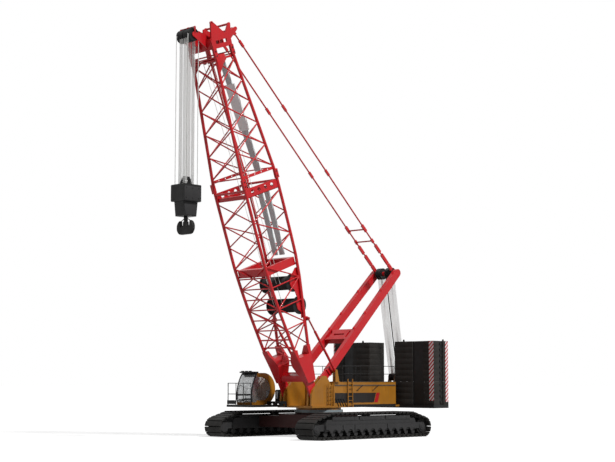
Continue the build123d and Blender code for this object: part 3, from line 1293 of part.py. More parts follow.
# ---------------------------------------------------------------- access
def rail_run(start, end, low_z, high_z, posts):
    """Straight handrail between two (x, y): top rail, knee rail and posts at shares of it."""
    (xa, ya), (xb, yb) = start, end
    pieces = [bar((xa, ya, z), (xb, yb, z), RAIL_SIZE) for z in (high_z, (low_z + high_z) / 2)]
    half = RAIL_SIZE / 2
    for share in posts:
        x, y = xa + (xb - xa) * share, ya + (yb - ya) * share
        pieces.append(block(x - half, x + half, y - half, y + half, low_z, high_z + half))
    return joined(pieces)


def build_access():
    inset = 60.0
    plan = platform_outline(inset)
    gap = RAIL_SIZE / 2 + RUN_GAP
    runs = []
    low, high = CAB_FLOOR_Z, CAB_RAIL_Z
    (x0, y0), (x1, y1), (x2, y2), (x3, y3), (x4, y4) = plan[:5]
    runs.append(rail_run((x0, y0 - 200), (x1, y1), low, high, (0, 0.33, 0.66, 1)))
    runs.append(rail_run((x1 - gap, y1), (x2, y2), low, high, (1,)))
    runs.append(rail_run((x2, y2 - gap), (x3, y3), low, high, (1,)))
    runs.append(rail_run((x3 - gap, y3), (x4, y4), low, high, (0.35, 0.7, 1)))
    ends = (-700.0, HOUSE_REAR_X + 100)
    for side in (1, -1):
        y = side * (DECK_HALF_WIDTH - inset)
        runs.append(rail_run((ends[0], y), (ends[1], y), HOUSE_TOP_Z + RUN_GAP, DECK_RAIL_Z,
                             [i / RAIL_BAYS for i in range(RAIL_BAYS + 1)]))
    keep("handrails", *runs)
    rungs = []
    x0, x1 = -1500.0, -1050.0
    y = DECK_HALF_WIDTH + 60
    for x in (x0, x1):
        rungs.append(block(x - 25, x + 25, y, y + 60, DECK_BOTTOM_Z, HOUSE_TOP_Z + 200))
    for i in range(6):
        z = DECK_BOTTOM_Z + 150 + i * 280
        rungs.append(block(x0, x1, y + 10, y + 50, z, z + 35))
    for z in (DECK_BOTTOM_Z + 30, HOUSE_TOP_Z - 200):
        for x in (x0, x1):
            rungs.append(block(x - 25, x + 25, DECK_HALF_WIDTH + RUN_GAP, y + 20, z, z + 60))
    keep("access_ladder", joined(rungs))


# ---------------------------------------------------------------- write
build_undercarriage()
build_superstructure()
build_boom()
build_load()
build_mast()
build_pendants()
build_luffing_ropes()
build_backstops()
build_access()

lows = [s.bounding_box().min.X for solids in NODES.values() for s in solids]
highs = [s.bounding_box().max.X for solids in NODES.values() for s in solids]
ORIGIN_X = (min(lows) + max(highs)) / 2
for name, solids in NODES.items():
    moved = [solid.moved(Location((-ORIGIN_X, 0, 0))) for solid in solids]
    export_step(Compound(children=moved) if len(moved) > 1 else moved[0], f"parts/{name}.step")
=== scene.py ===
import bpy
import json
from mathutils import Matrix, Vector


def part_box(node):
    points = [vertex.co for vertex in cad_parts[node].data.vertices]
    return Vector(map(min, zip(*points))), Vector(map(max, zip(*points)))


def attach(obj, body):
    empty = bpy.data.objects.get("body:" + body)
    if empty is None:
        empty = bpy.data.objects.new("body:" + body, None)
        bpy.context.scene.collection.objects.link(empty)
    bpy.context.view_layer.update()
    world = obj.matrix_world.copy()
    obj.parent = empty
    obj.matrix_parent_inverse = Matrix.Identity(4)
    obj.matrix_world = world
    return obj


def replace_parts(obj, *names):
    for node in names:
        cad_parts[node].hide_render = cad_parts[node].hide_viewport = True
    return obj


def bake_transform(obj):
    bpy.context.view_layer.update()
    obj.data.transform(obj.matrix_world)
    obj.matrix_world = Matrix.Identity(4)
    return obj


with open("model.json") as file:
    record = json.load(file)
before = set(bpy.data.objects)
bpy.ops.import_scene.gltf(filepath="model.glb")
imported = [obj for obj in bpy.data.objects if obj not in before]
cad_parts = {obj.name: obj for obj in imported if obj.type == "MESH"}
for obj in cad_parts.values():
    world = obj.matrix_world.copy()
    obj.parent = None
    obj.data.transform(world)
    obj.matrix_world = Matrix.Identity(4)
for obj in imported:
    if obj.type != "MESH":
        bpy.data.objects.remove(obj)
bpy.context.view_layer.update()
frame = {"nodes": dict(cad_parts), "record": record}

import json
from math import asin, atan2, cos, hypot, pi, radians, sin

import bmesh
import bpy
from mathutils import Matrix, Vector

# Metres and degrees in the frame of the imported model: +X forward, +Y left, ground at 0
RING_LOW, RING_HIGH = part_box("slewing_ring")
AXIS_X = (RING_LOW.x + RING_HIGH.x) / 2      # the slewing axis

SEAT = 0.0003                                # between pieces that sit on each other
SHEET = 0.004                                # thickness of thin sheets laid on a face

# viewpoint and light; the lens in sensor widths
CAMERA_AT = Vector((67.045 + AXIS_X, 64.473, 3.583))
CAMERA_YAW, CAMERA_PITCH = 44.334, 6.22
CAMERA_LENS, SENSOR = 2.2564, 36.0
KEY_LIGHT_FROM = Vector((0.08, 1.0, 1.15))
KEY_LIGHT_POWER, KEY_LIGHT_SPREAD = 3.3, 10
FLOOR_GREY, FLOOR_LIFT = "B0B0B0", 0.66
SKY_LIGHT = 0.2                              # on surfaces; the sky that is seen is white

# crawlers
TRACK_Y = 4.2
SHOE_COUNT = 58
SHOE_WIDTH = 1.5
SHOE_THICKNESS = 0.09
SHOE_GAP = 0.09        # from one shoe to the next
LOOP_THICKNESS = 0.2
SHOE_SINK = 0.02       # how far a flat shoe lies inside the round of a tumbler
TUMBLER_X, TUMBLER_RADIUS = 5.06, 0.66
BEND_X, BEND_RADIUS, TOP_RUN_Z = 3.8, 0.3, 1.69

# boom: along it from the foot pin, and square to it, + to the rear
BOOM_ANGLE = radians(69.7)
FOOT_X, FOOT_Z = 1.786, 2.802
CHORD_Y, CHORD_RADIUS, LACE_RADIUS = 1.395, 0.1005, 0.0435
JOINT_AT, HEAD_AT = 14.5, 22.8
HALF_DEPTH = 1.5                             # at the joint
HEAD_HALF_WIDTH, HEAD_HALF_DEPTH = 1.08, 0.75
# along the boom, front chords, rear chords
BASE_ROWS = [
    (3.25, -0.835, 0.49), (3.3, -0.84, 0.5), (4.75, -1.045, 0.755), (6.2, -1.245, 1.02),
    (7.65, -1.39, 1.285), (9.1, -1.495, 1.44), (10.55, -1.5, 1.48), (12.0, -1.5, 1.495),
    (13.45, -1.5, 1.5), (JOINT_AT, -HALF_DEPTH, HALF_DEPTH),
]
FRONT_BAYS = [3.3, 4.75, 6.2, 7.65, 9.1, 10.55, 12.0, 13.45]
REAR_BAYS = [(3.3, 4.75), (9.1, 10.55, 12.0, 13.45)]
BAY = 1.45
TOP_BAYS = [JOINT_AT + 0.55 + i * BAY for i in range(6)]
BASE_TIES = [4.75 + i * BAY / 2 for i in range(6)]   # over the front, half as many at the sides
TOP_TIES = (JOINT_AT + 0.42, HEAD_AT - 0.38, HEAD_AT - 0.22, HEAD_AT - 0.06)
FOOT_INNER_Y = 0.66                          # where the rungs between the foot's legs end
WINCHES = [(5.85, 0.8), (7.4, 0.7)]
LEADS_Y = ((-0.62, 0.18), (-0.22, 0.56))     # where two ropes leave each drum
DRUM_HALF = CHORD_Y - 0.145                  # up to the bearing plates on the chords
ROPE_RADIUS = 0.455                          # of the rope wound on the drums
HEAD_SHEAVE = (24.3, -1.63)

# mast
MAST_X, MAST_Z = 0.95, 3.75
MAST_TOP_X, MAST_TOP_Z = -7.0, 11.35
MAST_ANGLE = atan2(MAST_TOP_Z - MAST_Z, MAST_TOP_X - MAST_X)
MAST_LENGTH = hypot(MAST_TOP_Z - MAST_Z, MAST_TOP_X - MAST_X)
MAST_SHAFT = MAST_LENGTH - 0.2
ANCHOR_X, ANCHOR_Z = -8.05, 3.95

# superstructure
DECK_Y = 1.6
DECK_BOTTOM, DECK_TOP, HOUSE_TOP = 1.93, 2.05, 3.6
STRIP_LOW, STRIP_HIGH = 2.23, 2.88           # the blank name strip
HOUSE_RAIL_TOP, PLATFORM_RAIL_TOP = 4.67, 3.52
WEIGHT_FRONT, WEIGHT_REAR = -6.41, -7.97
WEIGHT_IN, WEIGHT_OUT = 1.167, 4.647
WEIGHT_BOTTOM, WEIGHT_TOP = 2.0503, 6.387
SLABS = 11
RECESS_Y = (2.76, 3.72)
GROOVE_X = (-7.43, -6.98)
GROOVE_DEPTH = 0.09
CAB_OUT, CAB_IN = -4.08, -2.6
CAB_FLOOR, CAB_ROOF = 2.09, 4.2
CAB_ROUND_X = 2.555                          # centre of the cab's round rear
PLATFORM_TOP = 2.15
PLATFORM_FRONT, PLATFORM_REAR, PLATFORM_OUT = 4.5, 1.1, -4.9
PLATFORM_STEP = (3.8, -4.1)                  # the corner cut out of its front


def at(x, y, z):
    """A point given from the slewing axis."""
    return Vector((x + AXIS_X, y, z))


def line_frame(x, z, angle):
    """Frame of a boom or mast: along it from (x, z), to the left, and square to it."""
    c, s = cos(angle), sin(angle)
    return Matrix(((c, 0, -s, x + AXIS_X), (0, 1, 0, 0), (s, 0, c, z), (0, 0, 0, 1)))


BOOM = line_frame(FOOT_X, FOOT_Z, BOOM_ANGLE)
MAST = line_frame(MAST_X, MAST_Z, MAST_ANGLE)
MACHINE = Matrix.Translation((AXIS_X, 0, 0))


def on_boom(along, y, out):
    """A point given along the boom, to the left, and square to it."""
    return BOOM @ Vector((along, y, out))


def span(side, near, far):
    """Two offsets from the middle plane on one side of it, in rising order."""
    return sorted((side * near, side * far))


# ------------------------------------------------------------------ materials

# patterns of the finishes: the first four in repeats to the metre, the last two in metres
PATCHES = 0.7          # worn tone, 1.4 m across
STREAKS = 12.0         # dust that ran down, 83 mm wide and a metre long
SHEEN = 2.3            # duller and shinier areas of 430 mm
GRAINS = 60.0          # cast, moulded or woven skin, drawn at 17 mm so that it shows
WIRE_LAY = 0.06        # a rope's strands, drawn this coarse so that they show
STRIPES = 0.27         # one red and one white stripe, measured up the sheet


def srgb(code):
    """The linear colour of a hex sRGB code."""
    parts = [int(code[i : i + 2], 16) / 255 for i in (0, 2, 4)]
    return (*(c / 12.92 if c <= 0.04045 else ((c + 0.055) / 1.055) ** 2.4 for c in parts), 1.0)


def add(tree, kind, links=None, **values):
    """Adds a node: values set its properties or sockets, links join its sockets to others."""
    node = tree.nodes.new("ShaderNode" + kind)
    for key, value in values.items():
        if hasattr(node, key):
            setattr(node, key, value)
        else:
            node.inputs[key.replace("_", " ")].default_value = value
    for key, socket in (links or {}).items():
        tree.links.new(socket, node.inputs[key])
    return node


def new_material(name):
    """An empty node material, its tree, its surface socket and the object's own coordinates."""
    material = bpy.data.materials.new(name)
    material.use_nodes = True
    tree = material.node_tree
    tree.nodes.clear()
    surface = add(tree, "OutputMaterial").inputs["Surface"]
    return material, tree, surface, add(tree, "TexCoord").outputs["Object"]


def drift(tree, place, scale, low, high, detail=4.0):
    """A slow noise between two values, of so many patches to the metre."""
    noise = add(tree, "TexNoise", {"Vector": place}, Scale=scale, Detail=detail)
    return add(tree, "MapRange", {"Value": noise.outputs["Fac"]}, From_Min=0.3, From_Max=0.7,
               To_Min=low, To_Max=high).outputs[0]


def blended(tree, factor, first, second):
    """A colour between two others; each is a hex code or a socket."""
    mix = add(tree, "Mix", {"Factor": factor}, data_type="RGBA")
    for slot, colour in ((6, first), (7, second)):
        if isinstance(colour, str):
            mix.inputs[slot].default_value = srgb(colour)
        else:
            tree.links.new(colour, mix.inputs[slot])
    return mix.outputs[2]


def coated(name, colour, worn, dust, roughness, coat=0.0, metallic=0.0, grain=0.0, specular=0.3):
    """A painted or bare finish: patches of worn tone, streaks of dust, its sheen and its skin.

    dust is the colour of the streaks, and grain is how deep the skin looks.
    """
    material, tree, surface, place = new_material(name)
    tone = blended(tree, drift(tree, place, PATCHES, 0.0, 0.8), colour, worn)
    streaks = add(tree, "Mapping", {"Vector": place}, Scale=(STREAKS, STREAKS, 1.0))
    dirty = add(tree, "Clamp", {"Value": drift(tree, streaks.outputs[0], 1.0, -0.35, 0.3, 2.0)})
    tone = blended(tree, dirty.outputs[0], tone, dust)
    sheen = drift(tree, place, SHEEN, roughness - 0.06, roughness + 0.12)
    links = {"Base Color": tone, "Roughness": sheen}
    if grain:
        rough = add(tree, "TexNoise", {"Vector": place}, Scale=GRAINS, Detail=3.0)
        links["Normal"] = add(tree, "Bump", {"Height": rough.outputs["Fac"]}, Strength=grain,
                              Distance=0.01).outputs["Normal"]
    shader = add(tree, "BsdfPrincipled", links, Metallic=metallic, Coat_Weight=coat,
                 Specular_IOR_Level=specular)
    tree.links.new(shader.outputs[0], surface)
    return material


def slanted(tree, place, joined):
    """Height plus the reach sideways, X and Y joined by an operation: it rises on a slant."""
    split = add(tree, "SeparateXYZ", {"Vector": place})
    across = add(tree, "Math", {0: split.outputs["X"], 1: split.outputs["Y"]}, operation=joined)
    return add(tree, "Math", {0: across.outputs[0], 1: split.outputs["Z"]},
               operation="ADD").outputs[0]


def striped(name, first, second):
    """Slanting warning stripes on a thin sheet, in two colours of equal width."""
    material, tree, surface, place = new_material(name)
    turns = add(tree, "Math", {0: slanted(tree, place, "SUBTRACT")}, operation="DIVIDE")
    turns.inputs[1].default_value = STRIPES
    share = add(tree, "Math", {0: turns.outputs[0]}, operation="FRACT")
    band = add(tree, "Math", {0: share.outputs[0]}, operation="GREATER_THAN")
    band.inputs[1].default_value = 0.5
    tone = blended(tree, band.outputs[0], first, second)
    shader = add(tree, "BsdfPrincipled", {"Base Color": tone,
                                          "Roughness": drift(tree, place, 3.0, 0.35, 0.5)})
    tree.links.new(shader.outputs[0], surface)
    return material


def wire_strands(name, colour, shade):
    """Laid steel wire: slanting strands of light and shade."""
    material, tree, surface, place = new_material(name)
    wave = add(tree, "Math", {0: slanted(tree, place, "ADD")}, operation="MULTIPLY")
    wave.inputs[1].default_value = 2 * pi / WIRE_LAY
    twist = add(tree, "Math", {0: wave.outputs[0]}, operation="SINE")
    share = add(tree, "MapRange", {"Value": twist.outputs[0]}, From_Min=-1.0, From_Max=1.0)
    tone = blended(tree, share.outputs[0], colour, shade)
    bump = add(tree, "Bump", {"Height": share.outputs[0]}, Strength=0.4, Distance=0.004)
    shader = add(tree, "BsdfPrincipled", {"Base Color": tone, "Normal": bump.outputs["Normal"]},
                 Metallic=0.1, Roughness=0.5, Specular_IOR_Level=0.4)
    tree.links.new(shader.outputs[0], surface)
    return material


def glazing(name, colour, opacity, mirror):
    """Flat coated safety glass: partly clear, partly a pale mirror, with a faint dusty drift."""
    material, tree, surface, place = new_material(name)
    tone = blended(tree, drift(tree, place, 1.5, 0.0, 0.4), colour, "B4B6B8")
    sheet = add(tree, "BsdfPrincipled", {"Base Color": tone}, Metallic=mirror, Roughness=0.08)
    clear = add(tree, "BsdfTransparent")
    both = add(tree, "MixShader", Fac=opacity)
    tree.links.new(clear.outputs[0], both.inputs[1])
    tree.links.new(sheet.outputs[0], both.inputs[2])
    tree.links.new(both.outputs[0], surface)
    return material


# Gloss red enamel of the boom and mast: a clean signal red, deep in the shade
RED = coated("gloss_red_enamel", "C4141C", "B2101A", "A02C30", 0.36, coat=0.1)
# The same red on the backstop rods, rope guides and strip ends, dulled by handling
RED_DULL = coated("handled_red_enamel", "AE141B", "96141C", "86302F", 0.45, coat=0.03)
# Ochre enamel of the deck, cab frame and houses: a warm brown yellow with a soft shine
OCHRE = coated("ochre_enamel", "A66E1E", "8E5C18", "7E6232", 0.42, coat=0.06)
# Dusty dark red enamel of the carbody, nearly brown in its own shade
CARBODY_RED = coated("dusty_dark_red_enamel", "341614", "281513", "30221F", 0.6, specular=0.25)
# Near-black brown paint of the counterweights, with a dry dusty bloom
BALLAST = coated("dusty_black_paint", "2E2C2A", "262422", "383532", 0.7, grain=0.2, specular=0.15)
# Black enamel of the winches, sheaves, rails and hook block, with a thin grey dust; also painted
# shade as the hook block's dark front, the counterweights' groove sheets and the deck's side strip
BLACK = coated("black_enamel", "141415", "1A1A1A", "242322", 0.5, coat=0.02, specular=0.2)
# Dark grey enamel of the crawler frames, brackets and pins, matt and even; on the hook block's side
# plates it is painted light, paler than the black block
DARK = coated("dark_grey_enamel", "303031", "2A2929", "383634", 0.58, specular=0.18)
# Cast track steel: grey-black, worn to dull grey, with a coarse skin
TRACK = coated("cast_track_steel", "222121", "2C2B29", "34312E", 0.66,
               metallic=0.15, grain=0.35, specular=0.18)
# Matt blue-grey paint of the slewing ring, paler than the steel round it
RING = coated("blue_grey_paint", "8A979C", "7C888C", "86867F", 0.5, specular=0.4)
# Pale grey paint of the channel behind the name board, and of the cabinet's door
CHANNEL = coated("pale_grey_paint", "C4CCCE", "B4BCBE", "B6B6B0", 0.45, specular=0.4)
# Off-white sheet of the blank name board and the cab's roof blind
BOARD = coated("off_white_sheet", "F2F8F9", "E4ECED", "DEDED8", 0.45, specular=0.4)
# Galvanised wire rope, bright, its strands on a slant
ROPE = wire_strands("galvanised_wire", "F2F2F0", "DADAD7")
# Black forged steel of the hook and the safety line, smooth with a dull skin
FORGED = coated("black_forged_steel", "1C1C1C", "262524", "2E2B28", 0.55,
                metallic=0.2, grain=0.2, specular=0.2)
# Woven dark cloth of the operator's seat
CLOTH = coated("dark_woven_cloth", "26272C", "303138", "3A3A3C", 0.85, grain=0.5, specular=0.2)
# Sun-coated safety glass of the cab: half clear, half a pale mirror
GLASS = glazing("cab_safety_glass", "DCDEDF", 0.55, 0.6)
# Smoke grey plastic lining of the cab, with a fine moulded skin
LINING = coated("smoke_grey_plastic", "4A4547", "403C3F", "5A5557", 0.7, grain=0.3, specular=0.2)
# Red and white warning sheet of the counterweights, in slanting bands
WARNING = striped("red_white_warning_sheet", "B01824", "E6DFDF")
# Dark blank sheet of the name strip along the deck, with a low shine
STRIP = coated("blank_dark_sheet", "241F1D", "1E1A18", "302A26", 0.45, coat=0.05, specular=0.2)
# Grey-brown walkway plate with a coarse skin, dulled by boots
WALK = coated("grey_walkway_plate", "5E5248", "4E443C", "6A6054", 0.7,
              metallic=0.1, grain=0.4, specular=0.2)

BY_SLOT = {
    "red_enamel": RED,
    "ochre_enamel": OCHRE,
    "black_enamel": BLACK,
    "track_steel": TRACK,
    "dark_enamel": DARK,
    "ring_grey": RING,
    "board_grey": BOARD,
    "safety_glass": GLASS,
    "wire_rope": ROPE,
    "forged_steel": FORGED,
    "seat_cloth": CLOTH,
}
BY_NODE = {
    "carbody": CARBODY_RED,
    "counterweight_left": BALLAST,
    "counterweight_right": BALLAST,
    "backstop_rods": RED_DULL,
    "handrails": BLACK,
    # the hook block in black, darker than its grey side plates: painted shade on its front
    "hook_block": BLACK,
    "boom_rear_channel": CHANNEL,
    "luffing_anchor": OCHRE,
    "access_ladder": OCHRE,
}
for part in frame["record"]["subparts"]:
    slots = frame["nodes"][part["node"]].data.materials
    slots.clear()
    slots.append(BY_NODE.get(part["node"], BY_SLOT[part["material_slot"]]))


# ---------------------------------------------------------------- mesh tools


def new_object(name, bm):
    """Turns a finished mesh into an object of the scene."""
    mesh = bpy.data.meshes.new(name)
    bm.to_mesh(mesh)
    bm.free()
    obj = bpy.data.objects.new(name, mesh)
    bpy.context.collection.objects.link(obj)
    return obj


def piece(name, bm, material, body, smooth=35.0):
    """The object of one piece, shaded smooth below an angle, which rides on a body if given."""
    bmesh.ops.recalc_face_normals(bm, faces=bm.faces)
    for face in bm.faces:
        face.smooth = True
    for edge in bm.edges:
        edge.smooth = len(edge.link_faces) == 2 and edge.calc_face_angle() < radians(smooth)
    obj = new_object(name, bm)
    obj.data.materials.append(material)
    if body:
        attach(obj, body)
    return obj


def rod(bm, start, end, radius, segments=12):
    """Round bar from start to end."""
    line = end - start
    turn = line.to_track_quat("Z", "Y").to_matrix().to_4x4()
    bmesh.ops.create_cone(bm, cap_ends=True, segments=segments, radius1=radius,
                          radius2=radius, depth=line.length,
                          matrix=Matrix.Translation((start + end) / 2) @ turn)


def rods(bm, points, radius, segments=12):
    """Round bars through points, one after the other."""
    for start, end in zip(points, points[1:]):
        rod(bm, start, end, radius, segments)


def bevelled(bm, edges, offset):
    """Rounds edges off."""
    bmesh.ops.bevel(bm, geom=edges, offset=offset, affect="EDGES", segments=2, profile=0.5,
                    material=-1)


def moved(bm, grown, vec):
    """Moves the points of what an extrusion made, and returns them."""
    verts = [v for v in grown["geom"] if isinstance(v, bmesh.types.BMVert)]
    bmesh.ops.translate(bm, verts=verts, vec=vec)
    return verts


def box(bm, place, low, high, bevel=0.0):
    """Box between two corners in a frame, its edges bevelled."""
    low, high = Vector(low), Vector(high)
    size = Matrix.Diagonal((*(high - low), 1.0))
    matrix = place @ Matrix.Translation((low + high) / 2) @ size
    made = bmesh.ops.create_cube(bm, size=1.0, matrix=matrix)["verts"]
    if bevel:
        bevelled(bm, list({edge for vert in made for edge in vert.link_edges}), bevel)


def plate(bm, place, outline, depth, bevel=0.0):
    """Plate of an outline of points in a frame, given its depth as a vector."""
    face = bm.faces.new([bm.verts.new(place @ Vector(p)) for p in outline])
    verts = moved(bm, bmesh.ops.extrude_face_region(bm, geom=[face]),
                  place.to_3x3() @ Vector(depth))
    if bevel:
        both = set(verts) | set(face.verts)
        bevelled(bm, [e for e in bm.edges if e.verts[0] in both and e.verts[1] in both], bevel)


def side_plate(bm, place, outline, y0, y1, bevel=0.0):
    """Plate whose outline is seen from the side, as (x, z) points, from y0 to y1."""
    plate(bm, place, [(x, y0, z) for x, z in outline], (0, y1 - y0, 0), bevel)


def turned(bm, place, profile, steps=40):
    """Turned ring or wheel: a closed profile of (radius, y) points spun about a frame's Y axis."""
    verts = [bm.verts.new(place @ Vector((radius, y, 0))) for radius, y in profile]
    edges = [bm.edges.new(pair) for pair in zip(verts, verts[1:] + verts[:1])]
    bmesh.ops.spin(bm, geom=verts + edges, cent=place.translation,
                   axis=place.to_3x3() @ Vector((0, 1, 0)), angle=2 * pi, steps=steps,
                   use_merge=True, use_duplicate=False)


def framed(place, x, y, z):
    """A frame moved to a point of it."""
    return place @ Matrix.Translation((x, y, z))


def around(count):
    """Cosine and sine of even steps round a circle."""
    return [(cos(2 * pi * i / count), sin(2 * pi * i / count)) for i in range(count)]


def sheave_pack(bm, place, low, high, count, radius, hole):
    """Grooved sheaves side by side on one shaft, each with a rim groove and a thinner web."""
    width = (high - low) / count
    for i in range(count):
        y0, y1 = low + i * width + 0.002, low + (i + 1) * width - 0.002
        mid, web = (y0 + y1) / 2, width * 0.18
        rim = radius * 0.86
        turned(bm, place, [
            (hole, y0), (hole + 0.06, y0), (hole + 0.09, mid - web), (rim - 0.05, mid - web),
            (rim - 0.02, y0), (radius, y0), (radius, y0 + width * 0.12), (rim + 0.03, mid),
            (radius, y1 - width * 0.12), (radius, y1), (rim - 0.02, y1), (rim - 0.05, mid + web),
            (hole + 0.09, mid + web), (hole + 0.06, y1), (hole, y1),
        ], 36)


# ------------------------------------------------------------------- crawlers


def loop_lines():
    """The crawler loop's straight runs and arcs, as in its solid, anticlockwise from the rear."""
    tumbler, bend_z = (TUMBLER_RADIUS, TUMBLER_RADIUS), TOP_RUN_Z - BEND_RADIUS
    circles = [(-TUMBLER_X, *tumbler), (TUMBLER_X, *tumbler),
               (BEND_X, bend_z, BEND_RADIUS), (-BEND_X, bend_z, BEND_RADIUS)]
    leaving = []
    for (x0, z0, r0), (x1, z1, r1) in zip(circles, circles[1:] + circles[:1]):
        tilt = asin((r0 - r1) / hypot(x1 - x0, z1 - z0))
        leaving.append(atan2(z1 - z0, x1 - x0) - pi / 2 + tilt)
    lines = []
    for i, (x, z, radius) in enumerate(circles):
        turn = (leaving[i] - leaving[i - 1]) % (2 * pi)
        lines.append(("arc", x, z, radius, leaving[i - 1], radius * turn))
        nx, nz, nr = circles[(i + 1) % len(circles)]
        a = leaving[i]
        x0, z0 = x + radius * cos(a), z + radius * sin(a)
        x1, z1 = nx + nr * cos(a), nz + nr * sin(a)
        lines.append(("run", x0, z0, 0, a, hypot(x1 - x0, z1 - z0)))
    return lines


def loop_place(lines, along, y):
    """Frame of a shoe on the loop: along the loop, across it, and outwards."""
    along %= sum(line[5] for line in lines)
    for kind, x, z, radius, angle, length in lines:
        if along <= length:
            break
        along -= length
    if kind == "arc":
        angle += along / radius
        radius -= SHOE_SINK
        x, z = x + radius * cos(angle), z + radius * sin(angle)
    else:
        x, z = x - along * sin(angle), z + along * cos(angle)
    c, s = cos(angle), sin(angle)
    return Matrix(((-s, 0, c, x + AXIS_X), (0, -1, 0, y), (c, 0, s, z), (0, 0, 0, 1)))


def build_crawlers():
    """Shoes with their link lugs and pins, in place of the two plain loops, and the hub caps."""
    lines = loop_lines()
    pitch = sum(line[5] for line in lines) / SHOE_COUNT
    half, wide = (pitch - SHOE_GAP) / 2, SHOE_WIDTH / 2
    outline = [(-half, -0.012), (0.06 - half, 0), (half - 0.06, 0), (half, -0.012),
               (half, -SHOE_THICKNESS), (-half, -SHOE_THICKNESS)]
    pin_x, pin_z = half + 0.03, -0.13
    for side, name in ((1, "left"), (-1, "right")):
        bm = bmesh.new()
        for shoe in range(SHOE_COUNT):
            place = loop_place(lines, (shoe + 0.5) * pitch, side * TRACK_Y)
            side_plate(bm, place, outline, -wide, wide)
            for y in (-0.42, 0.30):
                box(bm, place, (-half - 0.02, y, -LOOP_THICKNESS), (half + 0.02, y + 0.12, -0.07))
            for y in (-wide + 0.02, wide - 0.22):
                box(bm, place, (-half * 0.55, y, pin_z), (half * 0.55, y + 0.2, -0.06))
            rod(bm, place @ Vector((pin_x, -0.5, pin_z)), place @ Vector((pin_x, 0.5, pin_z)),
                0.028, 6)
        shoes = piece(f"{name}_track_shoes", bm, TRACK, "undercarriage")
        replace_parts(shoes, f"crawler_loop_{name}")

    bm = bmesh.new()
    for side in (1, -1):
        y0, y1 = span(side, 3.67, 4.79)
        for x0, x1 in ((-3.72, -1.3), (-1.2, 1.2), (1.3, 3.72)):
            box(bm, MACHINE, (x0, y0, 1.18), (x1, y1, 1.44), 0.02)
            for x in (x0 + 0.3, x1 - 0.3):
                box(bm, MACHINE, (x - 0.1, y0 - 0.008, 1.2), (x + 0.1, y1 + 0.008, 1.4), 0.006)
    piece("frame_top_covers", bm, DARK, "undercarriage")

    bm = bmesh.new()
    outer = TRACK_Y + 0.49
    for side in (1, -1):
        for x in (-TUMBLER_X, TUMBLER_X):
            hub = framed(MACHINE, x, side * outer, TUMBLER_RADIUS)
            if side < 0:
                hub = hub @ Matrix.Rotation(pi, 4, "Z")
            turned(bm, hub, [(0.001, 0.0), (0.26, 0.0), (0.26, 0.03), (0.23, 0.055), (0.13, 0.06),
                             (0.11, 0.085), (0.001, 0.09)], 32)
            for c, s in around(10):
                x0, z0 = 0.195 * c, 0.195 * s
                rod(bm, hub @ Vector((x0, 0.05, z0)), hub @ Vector((x0, 0.075, z0)), 0.018, 6)
    bmesh.ops.remove_doubles(bm, verts=bm.verts, dist=0.0015)
    piece("tumbler_hub_caps", bm, DARK, "undercarriage")


# ------------------------------------------------------------------------ boom


def station(along):
    """Half width, front offset and rear offset of the boom's chords."""
    if along > JOINT_AT:
        share = (along - JOINT_AT) / (HEAD_AT - JOINT_AT)
        depth = HALF_DEPTH + (HEAD_HALF_DEPTH - HALF_DEPTH) * share
        return CHORD_Y + (HEAD_HALF_WIDTH - CHORD_Y) * share, -depth, depth
    for (s0, f0, r0), (s1, f1, r1) in zip(BASE_ROWS, BASE_ROWS[1:]):
        if along <= s1:
            break
    share = (along - s0) / (s1 - s0)
    return CHORD_Y, f0 + (f1 - f0) * share, r0 + (r1 - r0) * share


def corner(along, side, rear):
    """A point of one chord's line."""
    half, front, back = station(along)
    return on_boom(along, side * half, back if rear else front)


def cross_rod(bm, along, out, y0, y1, radius, segments):
    """Round bar across the boom."""
    rod(bm, on_boom(along, y0, out), on_boom(along, y1, out), radius, segments)


def build_lattice():
    """Smooth round tubes of the boom's chords and lacing, over or in place of the plain ones."""
    bm = bmesh.new()
    for side in (1, -1):
        for rear in (False, True):
            rows = [row[0] for row in BASE_ROWS[:-1]] + [JOINT_AT - 0.01]
            rods(bm, [corner(s, side, rear) for s in rows], CHORD_RADIUS, 20)
            rod(bm, corner(JOINT_AT + 0.01, side, rear), corner(HEAD_AT - 0.01, side, rear),
                CHORD_RADIUS, 20)
    piece("round_chord_tubes", bm, RED, "boom", 50)

    bm = bmesh.new()
    for side in (1, -1):
        for i, (low, high) in enumerate(zip(FRONT_BAYS, FRONT_BAYS[1:])):
            rear = i % 2 == 1
            rod(bm, corner(low, side, rear), corner(high, side, not rear), LACE_RADIUS)
        for low, high in zip(TOP_BAYS, TOP_BAYS[1:]):
            for rear in (False, True):
                rod(bm, corner(low, side, rear), corner(high, side, not rear), LACE_RADIUS)
    piece("round_side_lacing", bm, RED, "boom")

    for name, node, faces in (
        ("round_base_lacing", "boom_base_lacing",
         [(FRONT_BAYS, False), (REAR_BAYS[0], True), (REAR_BAYS[1], True)]),
        ("round_top_lacing", "boom_top_lacing", [(TOP_BAYS, False), (TOP_BAYS, True)]),
    ):
        bm = bmesh.new()
        for rows, rear in faces:
            for low, high in zip(rows, rows[1:]):
                for side in (1, -1):
                    rod(bm, corner(low, side, rear), corner(high, -side, rear), LACE_RADIUS)
        if node == "boom_top_lacing":
            for s in TOP_TIES:
                for rear in (False, True):
                    rod(bm, corner(s, 1, rear), corner(s, -1, rear), LACE_RADIUS)
        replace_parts(piece(name, bm, RED, "boom"), node)

    bm = bmesh.new()
    for i, s in enumerate(BASE_TIES):
        rod(bm, corner(s, 1, False), corner(s, -1, False), LACE_RADIUS)
        if i % 2 == 0:
            for side in (1, -1):
                rod(bm, corner(s, side, False), corner(s, side, True), LACE_RADIUS)
    piece("base_ties", bm, RED, "boom")


